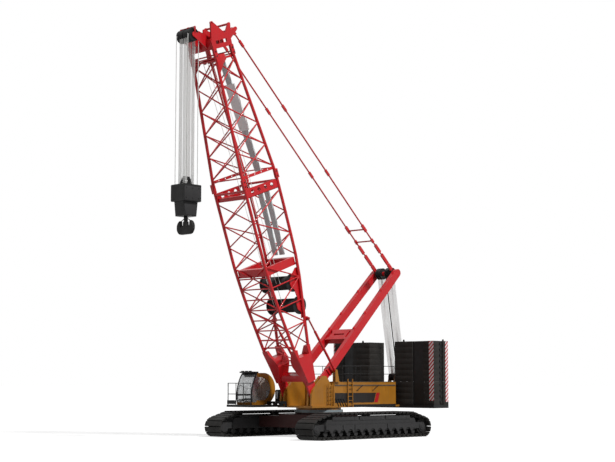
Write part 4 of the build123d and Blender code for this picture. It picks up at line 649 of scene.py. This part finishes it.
def build_boom_trim():
    """Section pins, and the rungs and gussets of the boom's foot and head."""
    bm = bmesh.new()
    for side in (1, -1):
        for rear in (False, True):
            for s in (JOINT_AT - 0.15, JOINT_AT + 0.15, HEAD_AT - 0.15, HEAD_AT + 0.15):
                half, front, back = station(min(s, HEAD_AT))
                out = back if rear else front
                cross_rod(bm, s, out, side * (half + 0.06), side * (half + 0.16), 0.045, 16)
    piece("section_pins", bm, DARK, "boom")

    bm = bmesh.new()
    for s in (3.45, 4.0):
        half, front, _ = station(s)
        half -= 0.09
        box(bm, BOOM, (s, -half, front + 0.02), (s + 0.09, half, front + 0.11), 0.01)
    for s, out in ((1.52, -0.1), (2.04, -0.14), (2.4, -0.2)):
        cross_rod(bm, s, out, -FOOT_INNER_Y, FOOT_INNER_Y, 0.042, 10)
    for side in (1, -1):
        rod(bm, on_boom(2.4, side * FOOT_INNER_Y, -0.2), on_boom(3.2, -side * 0.3, -0.7), 0.035, 10)
        y0, y1 = span(side, 1.2, 1.225)
        side_plate(bm, BOOM, [(21.55, -0.86), (22.72, -0.86), (22.72, -0.1), (22.35, -0.04),
                              (22.05, -0.42)], y0, y1, 0.006)
        for s, out in ((21.9, -0.72), (22.25, -0.74), (22.55, -0.68), (22.3, -0.42),
                       (22.58, -0.24)):
            cross_rod(bm, s, out, y0 - 0.012, y1 + 0.012, 0.035, 8)
    piece("foot_rungs_and_gussets", bm, RED, "boom")


def build_lead_ropes():
    """The hoist ropes' leads inside the boom, from the drums to guide sheaves under the head."""
    shaft_at, shaft_out, groove = 22.45, -0.2, 0.15
    ropes, guides = bmesh.new(), bmesh.new()
    for (s, out), ys in zip(WINCHES, LEADS_Y):
        for y in ys:
            rod(ropes, on_boom(s, y, out - ROPE_RADIUS), on_boom(shaft_at, y, shaft_out - groove),
                0.016, 6)
            turned(guides, framed(BOOM, shaft_at, 0, shaft_out), [
                (0.04, y - 0.03), (0.17, y - 0.03), (0.135, y - 0.004), (0.135, y + 0.004),
                (0.17, y + 0.03), (0.04, y + 0.03)], 24)
    half, front, back = station(shaft_at)
    half -= 0.02
    cross_rod(guides, shaft_at, shaft_out, -half, half, 0.0405, 16)
    piece("lead_ropes", ropes, ROPE, "boom", 60)
    piece("lead_rope_guides", guides, RED_DULL, "boom")
    bm = bmesh.new()
    for side in (1, -1):
        y0, y1 = span(side, half - 0.02, half + 0.01)
        box(bm, BOOM, (shaft_at - 0.07, y0, front), (shaft_at + 0.07, y1, back), 0.005)
    piece("guide_shaft_carriers", bm, RED, "boom")


def build_winches():
    """Grooved drums with wound rope between ribbed flanges, in place of the plain ones."""
    bm, wound = bmesh.new(), bmesh.new()
    half, turns = DRUM_HALF - SEAT, 70
    wide = half - 0.06                       # half the width that is wound
    width = 2 * wide / turns
    profile = [(0.3, wide), (0.3, -wide)]
    for i in range(turns):
        y = i * width - wide
        profile += [(ROPE_RADIUS - 0.015, y), (ROPE_RADIUS, y + width / 2)]
    profile.append((ROPE_RADIUS - 0.015, wide))
    for s, out in WINCHES:
        place = framed(BOOM, s, 0, out)
        for y, turn in ((-half, 1), (half, -1)):
            turned(bm, place, [(0.05, y), (0.6, y), (0.6, y + turn * 0.05), (0.57, y + turn * 0.06),
                               (0.5, y + turn * 0.045), (0.05, y + turn * 0.045)], 48)
            for c, s in around(12):
                rod(bm, place @ Vector((0.16 * c, y + turn * 0.05, 0.16 * s)),
                    place @ Vector((0.55 * c, y + turn * 0.05, 0.55 * s)), 0.012, 6)
        turned(wound, place, profile, 40)
    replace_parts(piece("hoist_drum_flanges", bm, BLACK, "boom"), "hoist_winches")
    piece("hoist_wound_rope", wound, DARK, "boom", 10)


def build_sheaves():
    """Grooved sheave packs at the boom head, the mast head and the rear post."""
    for name, place, (near, far), count, radius, hole, body in (
        ("head", framed(BOOM, HEAD_SHEAVE[0], 0, HEAD_SHEAVE[1]), (0.0303, 0.6), 7, 0.42, 0.0703,
         "boom"),
        ("mast", framed(MAST, MAST_SHAFT, 0, 0), (0.22, 0.64), 9, 0.4, 0.1503, "mast"),
        ("anchor", framed(MACHINE, ANCHOR_X, 0, ANCHOR_Z), (0.2, 0.64), 9, 0.26, 0.0603,
         "superstructure"),
    ):
        bm = bmesh.new()
        for side in (-1, 1):
            sheave_pack(bm, place, *span(side, near, far), count, radius, hole)
        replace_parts(piece(f"{name}_grooved_sheaves", bm, BLACK, body), f"{name}_sheaves")


def build_head_trim():
    """Cover bar over the hoist sheaves."""
    bm = bmesh.new()
    s, out = HEAD_SHEAVE
    for y0, y1 in ((-0.64, -0.02), (0.02, 0.64)):
        box(bm, BOOM, (s + 0.42, y0, out + 0.14), (s + 0.48, y1, out + 0.23), 0.01)
    for y in (-0.675, 0.625):
        side_plate(bm, BOOM, [(s + 0.05, out + 0.02), (s + 0.05, out + 0.14),
                              (s + 0.43, out + 0.26), (s + 0.5, out + 0.2),
                              (s + 0.46, out + 0.1)], y, y + 0.05, 0.006)
    piece("sheave_cover_bar", bm, RED_DULL, "boom")


# ------------------------------------------------------- hook block and ropes


def build_block_trim():
    """Raised plates on the sides of the hook block's two parts, and their bolts; the plates' grey,
    paler than the black block, is painted light.
    """
    low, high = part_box("hook_block")
    middle = (low.x + high.x) / 2 - AXIS_X
    upper = [(-0.6, 14.64), (0.6, 14.64), (0.66, 14.7), (0.66, 15.46), (0.6, 15.52),
             (-0.6, 15.52), (-0.66, 15.46), (-0.66, 14.7)]
    lower = [(-0.55, 14.56), (0.55, 14.56), (0.4, 13.76), (-0.4, 13.76)]
    plates, bolts = bmesh.new(), bmesh.new()
    for side in (1, -1):
        for outline, face_y in ((upper, 0.6), (lower, 0.43)):
            side_plate(plates, MACHINE, [(middle + dx, z) for dx, z in outline],
                       *span(side, face_y + SEAT, face_y + 0.016), 0.006)
        for x in (middle - 0.5, middle, middle + 0.5):
            for z in (14.79, 15.41):
                rod(bolts, at(x, side * 0.614, z), at(x, side * 0.634, z), 0.035, 6)
    piece("block_side_plates_painted_light", plates, DARK, "load")
    piece("block_bolts", bolts, BLACK, "load")


def build_hook():
    """The forged hook: the plain one drawn in at its sides, and rounded as a forging is."""
    narrower = 0.86
    bm = bmesh.new()
    bm.from_mesh(frame["nodes"]["ramshorn_hook"].data)
    bmesh.ops.remove_doubles(bm, verts=bm.verts[:], dist=0.0002)
    bmesh.ops.scale(bm, verts=bm.verts[:], vec=(1, narrower, 1))
    hook = piece("forged_ramshorn_hook", bm, FORGED, "hook", 60)
    remesh = hook.modifiers.new("one_skin", "REMESH")
    remesh.mode = "VOXEL"
    remesh.voxel_size = 0.022
    remesh.use_smooth_shade = True
    smooth = hook.modifiers.new("forged_rounds", "SMOOTH")
    smooth.factor = 0.6
    smooth.iterations = 5
    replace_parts(hook, "ramshorn_hook")


def build_ropes():
    """The falls of the hoist and luffing ropes in place of plain bundles, and a safety line."""
    low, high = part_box("hoist_ropes")
    middle = (low.x + high.x) / 2
    lead = (high.x - low.x) / 2 - 0.016
    # six falls a side, within the rims of the sheaves, and two more at the ends of the shaft
    rows = [(side * (0.05 + 0.056 * i), lead - 0.1) for side in (1, -1) for i in range(6)]
    rows += [(side * y, lead) for side in (1, -1) for y in (0.524, 0.556)]
    bm = bmesh.new()
    for y, reach in rows:
        for dx in (-reach, reach):
            rod(bm, Vector((middle + dx, y, low.z)), Vector((middle + dx, y, high.z)), 0.013, 8)
    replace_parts(piece("hoist_rope_falls", bm, ROPE, "load", 60), "hoist_ropes")

    head = MAST @ Vector((MAST_SHAFT, 0, 0))
    anchor = at(ANCHOR_X, 0, ANCHOR_Z)
    line = (head - anchor).normalized()
    square = Vector((line.z, 0, -line.x))
    parts = 24                               # cuts along the falls
    falls, safety = bmesh.new(), bmesh.new()
    for side in (1, -1):
        for i in range(8):
            sideways = Vector((0, side * (0.24 + i * 0.0545), 0))
            for turn in (1, -1):
                rod(falls, anchor + turn * square * 0.14 + sideways,
                    head + turn * square * 0.17 + sideways, 0.0105, 6)
    rod(safety, anchor, head, 0.04, 8)
    for bm in (falls, safety):
        for i in range(1, parts):
            bmesh.ops.bisect_plane(bm, geom=bm.verts[:] + bm.edges[:] + bm.faces[:],
                                   plane_co=anchor + (head - anchor) * i / parts, plane_no=line,
                                   dist=0.0001)
    falls = piece("luffing_rope_falls", falls, ROPE, None, 60)
    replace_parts(falls, "luffing_ropes")
    safety = piece("luffing_safety_line", safety, FORGED, None, 60)
    for bundle in (falls, safety):
        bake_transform(bundle)


# ---------------------------------------------------------------- superstructure


def build_counterweights():
    """Cast slabs with rounded edges, lugs in their side grooves, black painted shade in the grooves
    and front recesses, and the warning sheets.
    """
    height = (WEIGHT_TOP - WEIGHT_BOTTOM) / SLABS
    floor_y, floor_x = WEIGHT_OUT - GROOVE_DEPTH, WEIGHT_FRONT - GROOVE_DEPTH
    groove_x = (GROOVE_X[0] + GROOVE_X[1]) / 2
    plan = [
        (WEIGHT_FRONT, WEIGHT_IN), (WEIGHT_FRONT, RECESS_Y[0]), (floor_x, RECESS_Y[0]),
        (floor_x, RECESS_Y[1]), (WEIGHT_FRONT, RECESS_Y[1]), (WEIGHT_FRONT, WEIGHT_OUT),
        (GROOVE_X[1], WEIGHT_OUT), (GROOVE_X[1], floor_y), (GROOVE_X[0], floor_y),
        (GROOVE_X[0], WEIGHT_OUT), (WEIGHT_REAR, WEIGHT_OUT), (WEIGHT_REAR, WEIGHT_IN),
    ]
    for side, name in ((1, "left"), (-1, "right")):
        bm = bmesh.new()
        for i in range(SLABS):
            z = WEIGHT_BOTTOM + i * height
            plate(bm, MACHINE, [(x, side * y, z + 0.001) for x, y in plan],
                  (0, 0, height - 0.002), 0.005)
            y0, y1 = span(side, WEIGHT_OUT - 0.095, WEIGHT_OUT - 0.015)
            box(bm, MACHINE, (groove_x - 0.07, y0, z + 0.13), (groove_x + 0.07, y1, z + 0.25),
                0.012)
        foot, top = WEIGHT_TOP - 0.005, WEIGHT_TOP + 0.13
        for x, y in ((-6.54, 1.9), (-7.86, 4.3)):
            side_plate(bm, MACHINE, [(x - 0.09, foot), (x + 0.09, foot), (x + 0.06, top),
                                     (x - 0.06, top)], *span(side, y - 0.02, y + 0.02), 0.006)
        slabs = piece(f"{name}_ballast_slabs", bm, BALLAST, "superstructure")
        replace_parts(slabs, f"counterweight_{name}")

    # black sheets on the floors of the side grooves and the front recesses: painted shade,
    # darkening these hollows
    bm = bmesh.new()
    top = WEIGHT_TOP - 0.01
    for side in (1, -1):
        y0, y1 = span(side, floor_y, floor_y + SHEET)
        box(bm, MACHINE, (GROOVE_X[0] + 0.01, y0, WEIGHT_BOTTOM + 0.15),
            (GROOVE_X[1] - 0.01, y1, top))
        y0, y1 = span(side, RECESS_Y[0] + 0.01, RECESS_Y[1] - 0.01)
        box(bm, MACHINE, (floor_x, y0, WEIGHT_BOTTOM + 0.01), (floor_x + SHEET, y1, top))
    piece("groove_painted_shade", bm, BLACK, "superstructure")

    bm = bmesh.new()
    low, high = WEIGHT_BOTTOM + 0.05, WEIGHT_TOP - 0.02
    edge, face_x = WEIGHT_OUT - 0.01, WEIGHT_FRONT + SHEET
    box(bm, MACHINE, (WEIGHT_FRONT, 4.24, low + 0.25), (face_x, edge, high))
    box(bm, MACHINE, (WEIGHT_FRONT, -edge, low), (face_x, 0.13 - edge, high))
    for side in (1, -1):
        y0, y1 = span(side, WEIGHT_OUT, WEIGHT_OUT + SHEET)
        box(bm, MACHINE, (WEIGHT_REAR + 0.01, y0, low + 0.15), (WEIGHT_REAR + 0.3, y1, high))
    piece("warning_sheets", bm, WARNING, "superstructure")


def build_steps():
    """The leaning steps with their rail, and the ladder to the boom's foot."""
    steps, ladder = bmesh.new(), bmesh.new()
    y = DECK_Y + 0.008
    for i in range(4):
        x = 0.02 - i * 0.24
        side_plate(steps, MACHINE, [(x, 2.5), (x + 0.06, 2.5), (x - 0.24, 2.0), (x - 0.3, 2.0)],
                   y, y + 0.035, 0.006)
    rod(steps, at(0.1, DECK_Y + 0.03, 2.48), at(-0.76, DECK_Y + 0.03, 2.48), 0.02, 8)
    piece("leaning_steps", steps, BLACK, "superstructure")

    for x in (0.34, 0.72):
        box(ladder, MACHINE, (x, DECK_Y + 0.002, 2.1), (x + 0.06, DECK_Y + 0.06, 3.5), 0.008)
    for i in range(5):
        z = 2.3 + i * 0.26
        box(ladder, MACHINE, (0.36, DECK_Y + 0.01, z), (0.76, DECK_Y + 0.05, z + 0.04), 0.006)
    piece("foot_ladder", ladder, OCHRE, "superstructure")


def build_house_trim():
    """Painted shade along the deck's side, blank name strips, handles, walkway edges and ribs of
    the two houses' sides.
    """
    deck_shade, strip, tail, handles, walk, ribs = [bmesh.new() for _ in range(6)]
    for side in (1, -1):
        y0, y1 = span(side, DECK_Y, DECK_Y + 0.006)
        side_plate(strip, MACHINE, [(0.12, STRIP_LOW), (0.12, STRIP_HIGH), (-3.95, STRIP_HIGH),
                                    (-3.72, STRIP_LOW)], y0, y1)
        side_plate(tail, MACHINE, [(-4.0, STRIP_HIGH), (-3.77, STRIP_LOW), (-4.12, STRIP_LOW),
                                   (-4.35, STRIP_HIGH)], y0, y1)
        # a black sheet on the deck's side under the rear housing: painted shade of the deck beneath
        # the housing
        y0, y1 = span(side, DECK_Y, DECK_Y + 0.008)
        box(deck_shade, MACHINE, (-5.98, y0, DECK_BOTTOM + 0.005), (-1.7, y1, DECK_TOP + 0.06), 0.003)

        y, low, high = side * (DECK_Y + 0.03), 3.02, 3.38
        for x in (-2.3, -3.9):
            rods(handles, [at(x + 0.3, y, low), at(x, y, 3.22), at(x - 0.3, y, high)], 0.022, 8)
            for dx, z in ((0.3, low), (-0.3, high)):
                rod(handles, at(x + dx, side * (DECK_Y - 0.01), z), at(x + dx, y, z), 0.02, 8)

        y0, y1 = span(side, 1.18, DECK_Y + 0.02)
        box(walk, MACHINE, (-5.9, y0, HOUSE_TOP + SEAT), (-0.62, y1, HOUSE_TOP + 0.03), 0.006)
        y0, y1 = span(side, DECK_Y - 0.005, DECK_Y + 0.03)
        box(walk, MACHINE, (-5.95, y0, 3.34), (0.15, y1, 3.42), 0.008)
        y0, y1 = span(side, DECK_Y - 0.005, DECK_Y + (0.018 if side > 0 else 0.03))
        for x in (-5.0, -3.6, -2.2, -0.8):
            box(ribs, MACHINE, (x, y0, 2.98), (x + 0.04, y1, 3.33), 0.004)
    piece("deck_side_painted_shade", deck_shade, BLACK, "superstructure")
    piece("blank_name_strip", strip, STRIP, "superstructure")
    piece("strip_tail", tail, RED_DULL, "superstructure")
    piece("side_handles", handles, BLACK, "superstructure")
    piece("walkway_edges", walk, WALK, "superstructure")
    piece("house_side_ribs", ribs, OCHRE, "superstructure")


def build_rails():
    """Round handrails in place of the square ones."""
    bm = bmesh.new()
    radius = 0.02

    def run(start, end, low, high, posts):
        """Two rails from start to end, and posts at shares of the way."""
        for z in (high, (low + high) / 2):
            rod(bm, at(*start, z), at(*end, z), radius, 8)
        for share in posts:
            x = start[0] + (end[0] - start[0]) * share
            y = start[1] + (end[1] - start[1]) * share
            rod(bm, at(x, y, low), at(x, y, high + radius), radius, 8)

    inset = 0.06
    front, rear, outer = PLATFORM_FRONT - inset, PLATFORM_REAR + inset, PLATFORM_OUT + inset
    step_x, step_y = PLATFORM_STEP[0] - inset, PLATFORM_STEP[1] + inset
    for start, end, posts in (
        ((front, -1.86), (front, step_y), (0, 0.33, 0.66, 1)),
        ((front, step_y), (step_x, step_y), (1,)),
        ((step_x, step_y), (step_x, outer), (1,)),
        ((step_x, outer), (rear, outer), (0.35, 0.7, 1)),
    ):
        run(start, end, CAB_FLOOR, PLATFORM_RAIL_TOP, posts)
    for side in (1, -1):
        y = side * (DECK_Y - inset)
        run((-0.7, y), (-5.9, y), HOUSE_TOP, HOUSE_RAIL_TOP, (0, 0.25, 0.5, 0.75, 1))
    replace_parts(piece("round_handrails", bm, BLACK, "superstructure"), "handrails")


def half_ring(bm, x, z, radius, y, ends):
    """Line of edges from the cab's foot round its rear to its top, run on to two end points."""
    first = bm.verts.new(at(x, y, z - radius))
    last = bmesh.ops.spin(bm, geom=[first], cent=at(x, y, z), axis=(0, 1, 0), angle=pi,
                          steps=36, use_merge=False, use_duplicate=False)["geom_last"][0]
    for vert, end in ((first, ends[0]), (last, ends[1])):
        bm.edges.new((vert, bm.verts.new(at(end[0], y, end[1]))))


def build_cab_lining():
    """Inner window hoop, and the lining and blind within the cab's round rear."""
    x, y, z = CAB_ROUND_X, CAB_IN + SEAT, (CAB_FLOOR + CAB_ROOF) / 2
    radius, window = (CAB_ROOF - CAB_FLOOR) / 2 - 0.004, 0.76
    bm = bmesh.new()
    half_ring(bm, x, z, radius, y, ((3.3, z - radius), (3.15, z + radius)))
    half_ring(bm, x + 0.18, z, window, y, ((3.2, z - window), (3.15, z + 0.8)))
    bmesh.ops.bridge_loops(bm, edges=bm.edges[:])
    moved(bm, bmesh.ops.extrude_face_region(bm, geom=bm.faces[:]), (0, 0.016, 0))
    piece("inner_window_hoop", bm, OCHRE, "superstructure")

    shell, blind = bmesh.new(), bmesh.new()
    radius -= 0.068
    # where each strip starts, in degrees from straight down round the rear, and how far it runs
    for bm, start, angle in ((shell, 4, 116), (shell, 152, 24), (blind, 120, 32)):
        a = radians(start)
        first = bm.verts.new(at(x - radius * sin(a), CAB_OUT + 0.07, z - radius * cos(a)))
        bmesh.ops.spin(bm, geom=[first], cent=at(x, 0, z), axis=(0, 1, 0), angle=radians(angle),
                       steps=max(4, angle // 5), use_merge=False, use_duplicate=False)
        chain = [e for e in bm.edges if not e.link_faces]
        moved(bm, bmesh.ops.extrude_edge_only(bm, edges=chain), (0, CAB_IN - CAB_OUT - 0.14, 0))
    for bm in (shell, blind):
        bmesh.ops.recalc_face_normals(bm, faces=bm.faces)
        bmesh.ops.solidify(bm, geom=bm.faces[:], thickness=0.008)
    # the flat outboard wall behind the door: the rear part of a disc
    wall = Matrix.Translation(at(x, CAB_OUT + 0.068, z)) @ Matrix.Rotation(pi / 2, 4, "X")
    disc = bmesh.ops.create_circle(shell, cap_ends=True, segments=40, radius=0.96,
                                   matrix=wall)["verts"]
    edges, faces = {e for v in disc for e in v.link_edges}, {f for v in disc for f in v.link_faces}
    cut = bmesh.ops.bisect_plane(shell, geom=disc + list(edges) + list(faces),
                                 plane_co=at(2.09, 0, 0), plane_no=(1, 0, 0), clear_outer=True,
                                 dist=0.0001)["geom"]
    kept = [f for f in cut if isinstance(f, bmesh.types.BMFace) and f.is_valid]
    bmesh.ops.solidify(shell, geom=kept, thickness=0.006)
    piece("cab_lining", shell, LINING, "superstructure")
    piece("rear_roof_blind", blind, BOARD, "superstructure")


def build_cab_trim():
    """Roof visor with its lamps, and the console."""
    bm = bmesh.new()
    box(bm, MACHINE, (2.95, CAB_OUT + 0.1, CAB_ROOF), (3.5, CAB_IN - 0.1, CAB_ROOF + 0.09), 0.02)
    middle = (CAB_OUT + CAB_IN) / 2
    for y in (middle - 0.36, middle, middle + 0.36):
        box(bm, MACHINE, (3.38, y - 0.1, CAB_ROOF + 0.02), (3.52, y + 0.1, CAB_ROOF + 0.14), 0.02)
    rod(bm, at(3.71, middle, 2.8), at(3.66, middle, 3.35), 0.012, 6)
    piece("cab_roof_visor", bm, BLACK, "superstructure")

    bm = bmesh.new()
    foot = PLATFORM_TOP + 0.01
    box(bm, MACHINE, (2.95, -3.95, foot), (3.3, -3.7, 2.85), 0.04)
    box(bm, MACHINE, (2.6, -3.75, foot), (3.2, -3.65, 2.75), 0.03)
    box(bm, MACHINE, (2.6, -2.98, foot), (3.1, -2.86, 2.75), 0.03)
    for y in (-3.7, -2.92):
        rod(bm, at(3.0, y, 2.72), at(3.05, y, 2.98), 0.012, 8)
        bmesh.ops.create_icosphere(bm, subdivisions=2, radius=0.035,
                                   matrix=Matrix.Translation(at(3.05, y, 2.99)))
    box(bm, MACHINE, (3.22, -3.62, 2.7), (3.27, -3.3, 2.95), 0.015)
    piece("cab_console", bm, DARK, "superstructure")


def build_platform_trim():
    """Edge plates of the cab's platform and of the beam beside it, and a cabinet with its door."""
    foot = PLATFORM_TOP + SEAT
    bm = bmesh.new()
    box(bm, MACHINE, (PLATFORM_FRONT - 0.04, -4.09, foot), (PLATFORM_FRONT, -3.3, 2.4), 0.006)
    box(bm, MACHINE, (3.84, PLATFORM_STEP[1], foot), (4.48, PLATFORM_STEP[1] + 0.04, 2.4), 0.006)
    start, end = -2.56, -0.72
    for z0, z1 in ((1.962, 2.03), (2.17, 2.33)):
        box(bm, MACHINE, (2.262, start, z0), (2.3, end, z1), 0.004)
    for i in range(4):
        y = start + i * 0.56
        box(bm, MACHINE, (2.265, y, 2.02), (2.297, y + 0.4 if i < 3 else end, 2.18))
    piece("platform_edge_plates", bm, BLACK, "superstructure")

    bm = bmesh.new()
    box(bm, MACHINE, (1.35, -2.36, foot), (1.75, -2.03, 3.05), 0.02)
    box(bm, MACHINE, (1.4, -2.34, 3.045), (1.7, -2.06, 3.09), 0.015)
    piece("platform_cabinet", bm, BLACK, "superstructure")
    bm = bmesh.new()
    box(bm, MACHINE, (1.7485, -2.31, 2.5), (1.762, -2.09, 2.98), 0.006)
    piece("cabinet_door", bm, CHANNEL, "superstructure")


# ---------------------------------------------------------------------- stage


def when_seen(tree, low, high):
    """One value for rays of light, another for what the camera, mirrors and glass see."""
    path = add(tree, "LightPath")
    seen = path.outputs["Is Camera Ray"]
    for kind in ("Is Glossy Ray", "Is Transmission Ray"):
        seen = add(tree, "Math", {0: seen, 1: path.outputs[kind]}, operation="MAXIMUM").outputs[0]
    return add(tree, "MapRange", {"Value": seen}, To_Min=low, To_Max=high).outputs[0]


def lit_white(name, colour, lift):
    """A white matt surface that keeps its shadows, lifted for the camera, mirrors and glass."""
    material, tree, surface, _ = new_material(name)
    shader = add(tree, "BsdfPrincipled", {"Emission Strength": when_seen(tree, 0.0, lift)},
                 Base_Color=srgb(colour), Roughness=0.95, Specular_IOR_Level=0.0,
                 Emission_Color=(1.0, 1.0, 1.0, 1.0))
    tree.links.new(shader.outputs[0], surface)
    return material


def build_stage():
    """Floor, soft studio light and the camera."""
    bm = bmesh.new()
    bmesh.ops.create_grid(bm, x_segments=1, y_segments=1, size=900)
    floor = new_object("floor", bm)
    floor.data.materials.append(lit_white("studio_floor", FLOOR_GREY, FLOOR_LIFT))

    world = bpy.data.worlds.new("studio")
    bpy.context.scene.world = world
    world.use_nodes = True
    tree = world.node_tree
    tree.nodes.clear()
    light = add(tree, "Background", {"Strength": when_seen(tree, SKY_LIGHT, 1.0)},
                Color=(1.0, 1.0, 1.0, 1.0))
    out = add(tree, "OutputWorld")
    tree.links.new(light.outputs[0], out.inputs["Surface"])

    sun = bpy.data.lights.new("key", "SUN")
    sun.energy = KEY_LIGHT_POWER
    sun.angle = radians(KEY_LIGHT_SPREAD)
    lamp = bpy.data.objects.new("key", sun)
    lamp.rotation_euler = KEY_LIGHT_FROM.to_track_quat("Z", "Y").to_euler()
    bpy.context.collection.objects.link(lamp)

    data = bpy.data.cameras.new("camera")
    data.sensor_width = SENSOR
    data.lens = CAMERA_LENS * SENSOR
    data.clip_end = 3000
    camera = bpy.data.objects.new("camera", data)
    camera.location = CAMERA_AT
    camera.rotation_euler = (radians(90 + CAMERA_PITCH), 0, radians(90 + CAMERA_YAW))
    bpy.context.collection.objects.link(camera)
    bpy.context.scene.camera = camera


build_crawlers()
build_lattice()
build_boom_trim()
build_lead_ropes()
build_winches()
build_sheaves()
build_head_trim()
build_block_trim()
build_hook()
build_ropes()
build_counterweights()
build_steps()
build_house_trim()
build_rails()
build_cab_lining()
build_cab_trim()
build_platform_trim()
build_stage()
bpy.context.scene.view_settings.view_transform = "Standard"
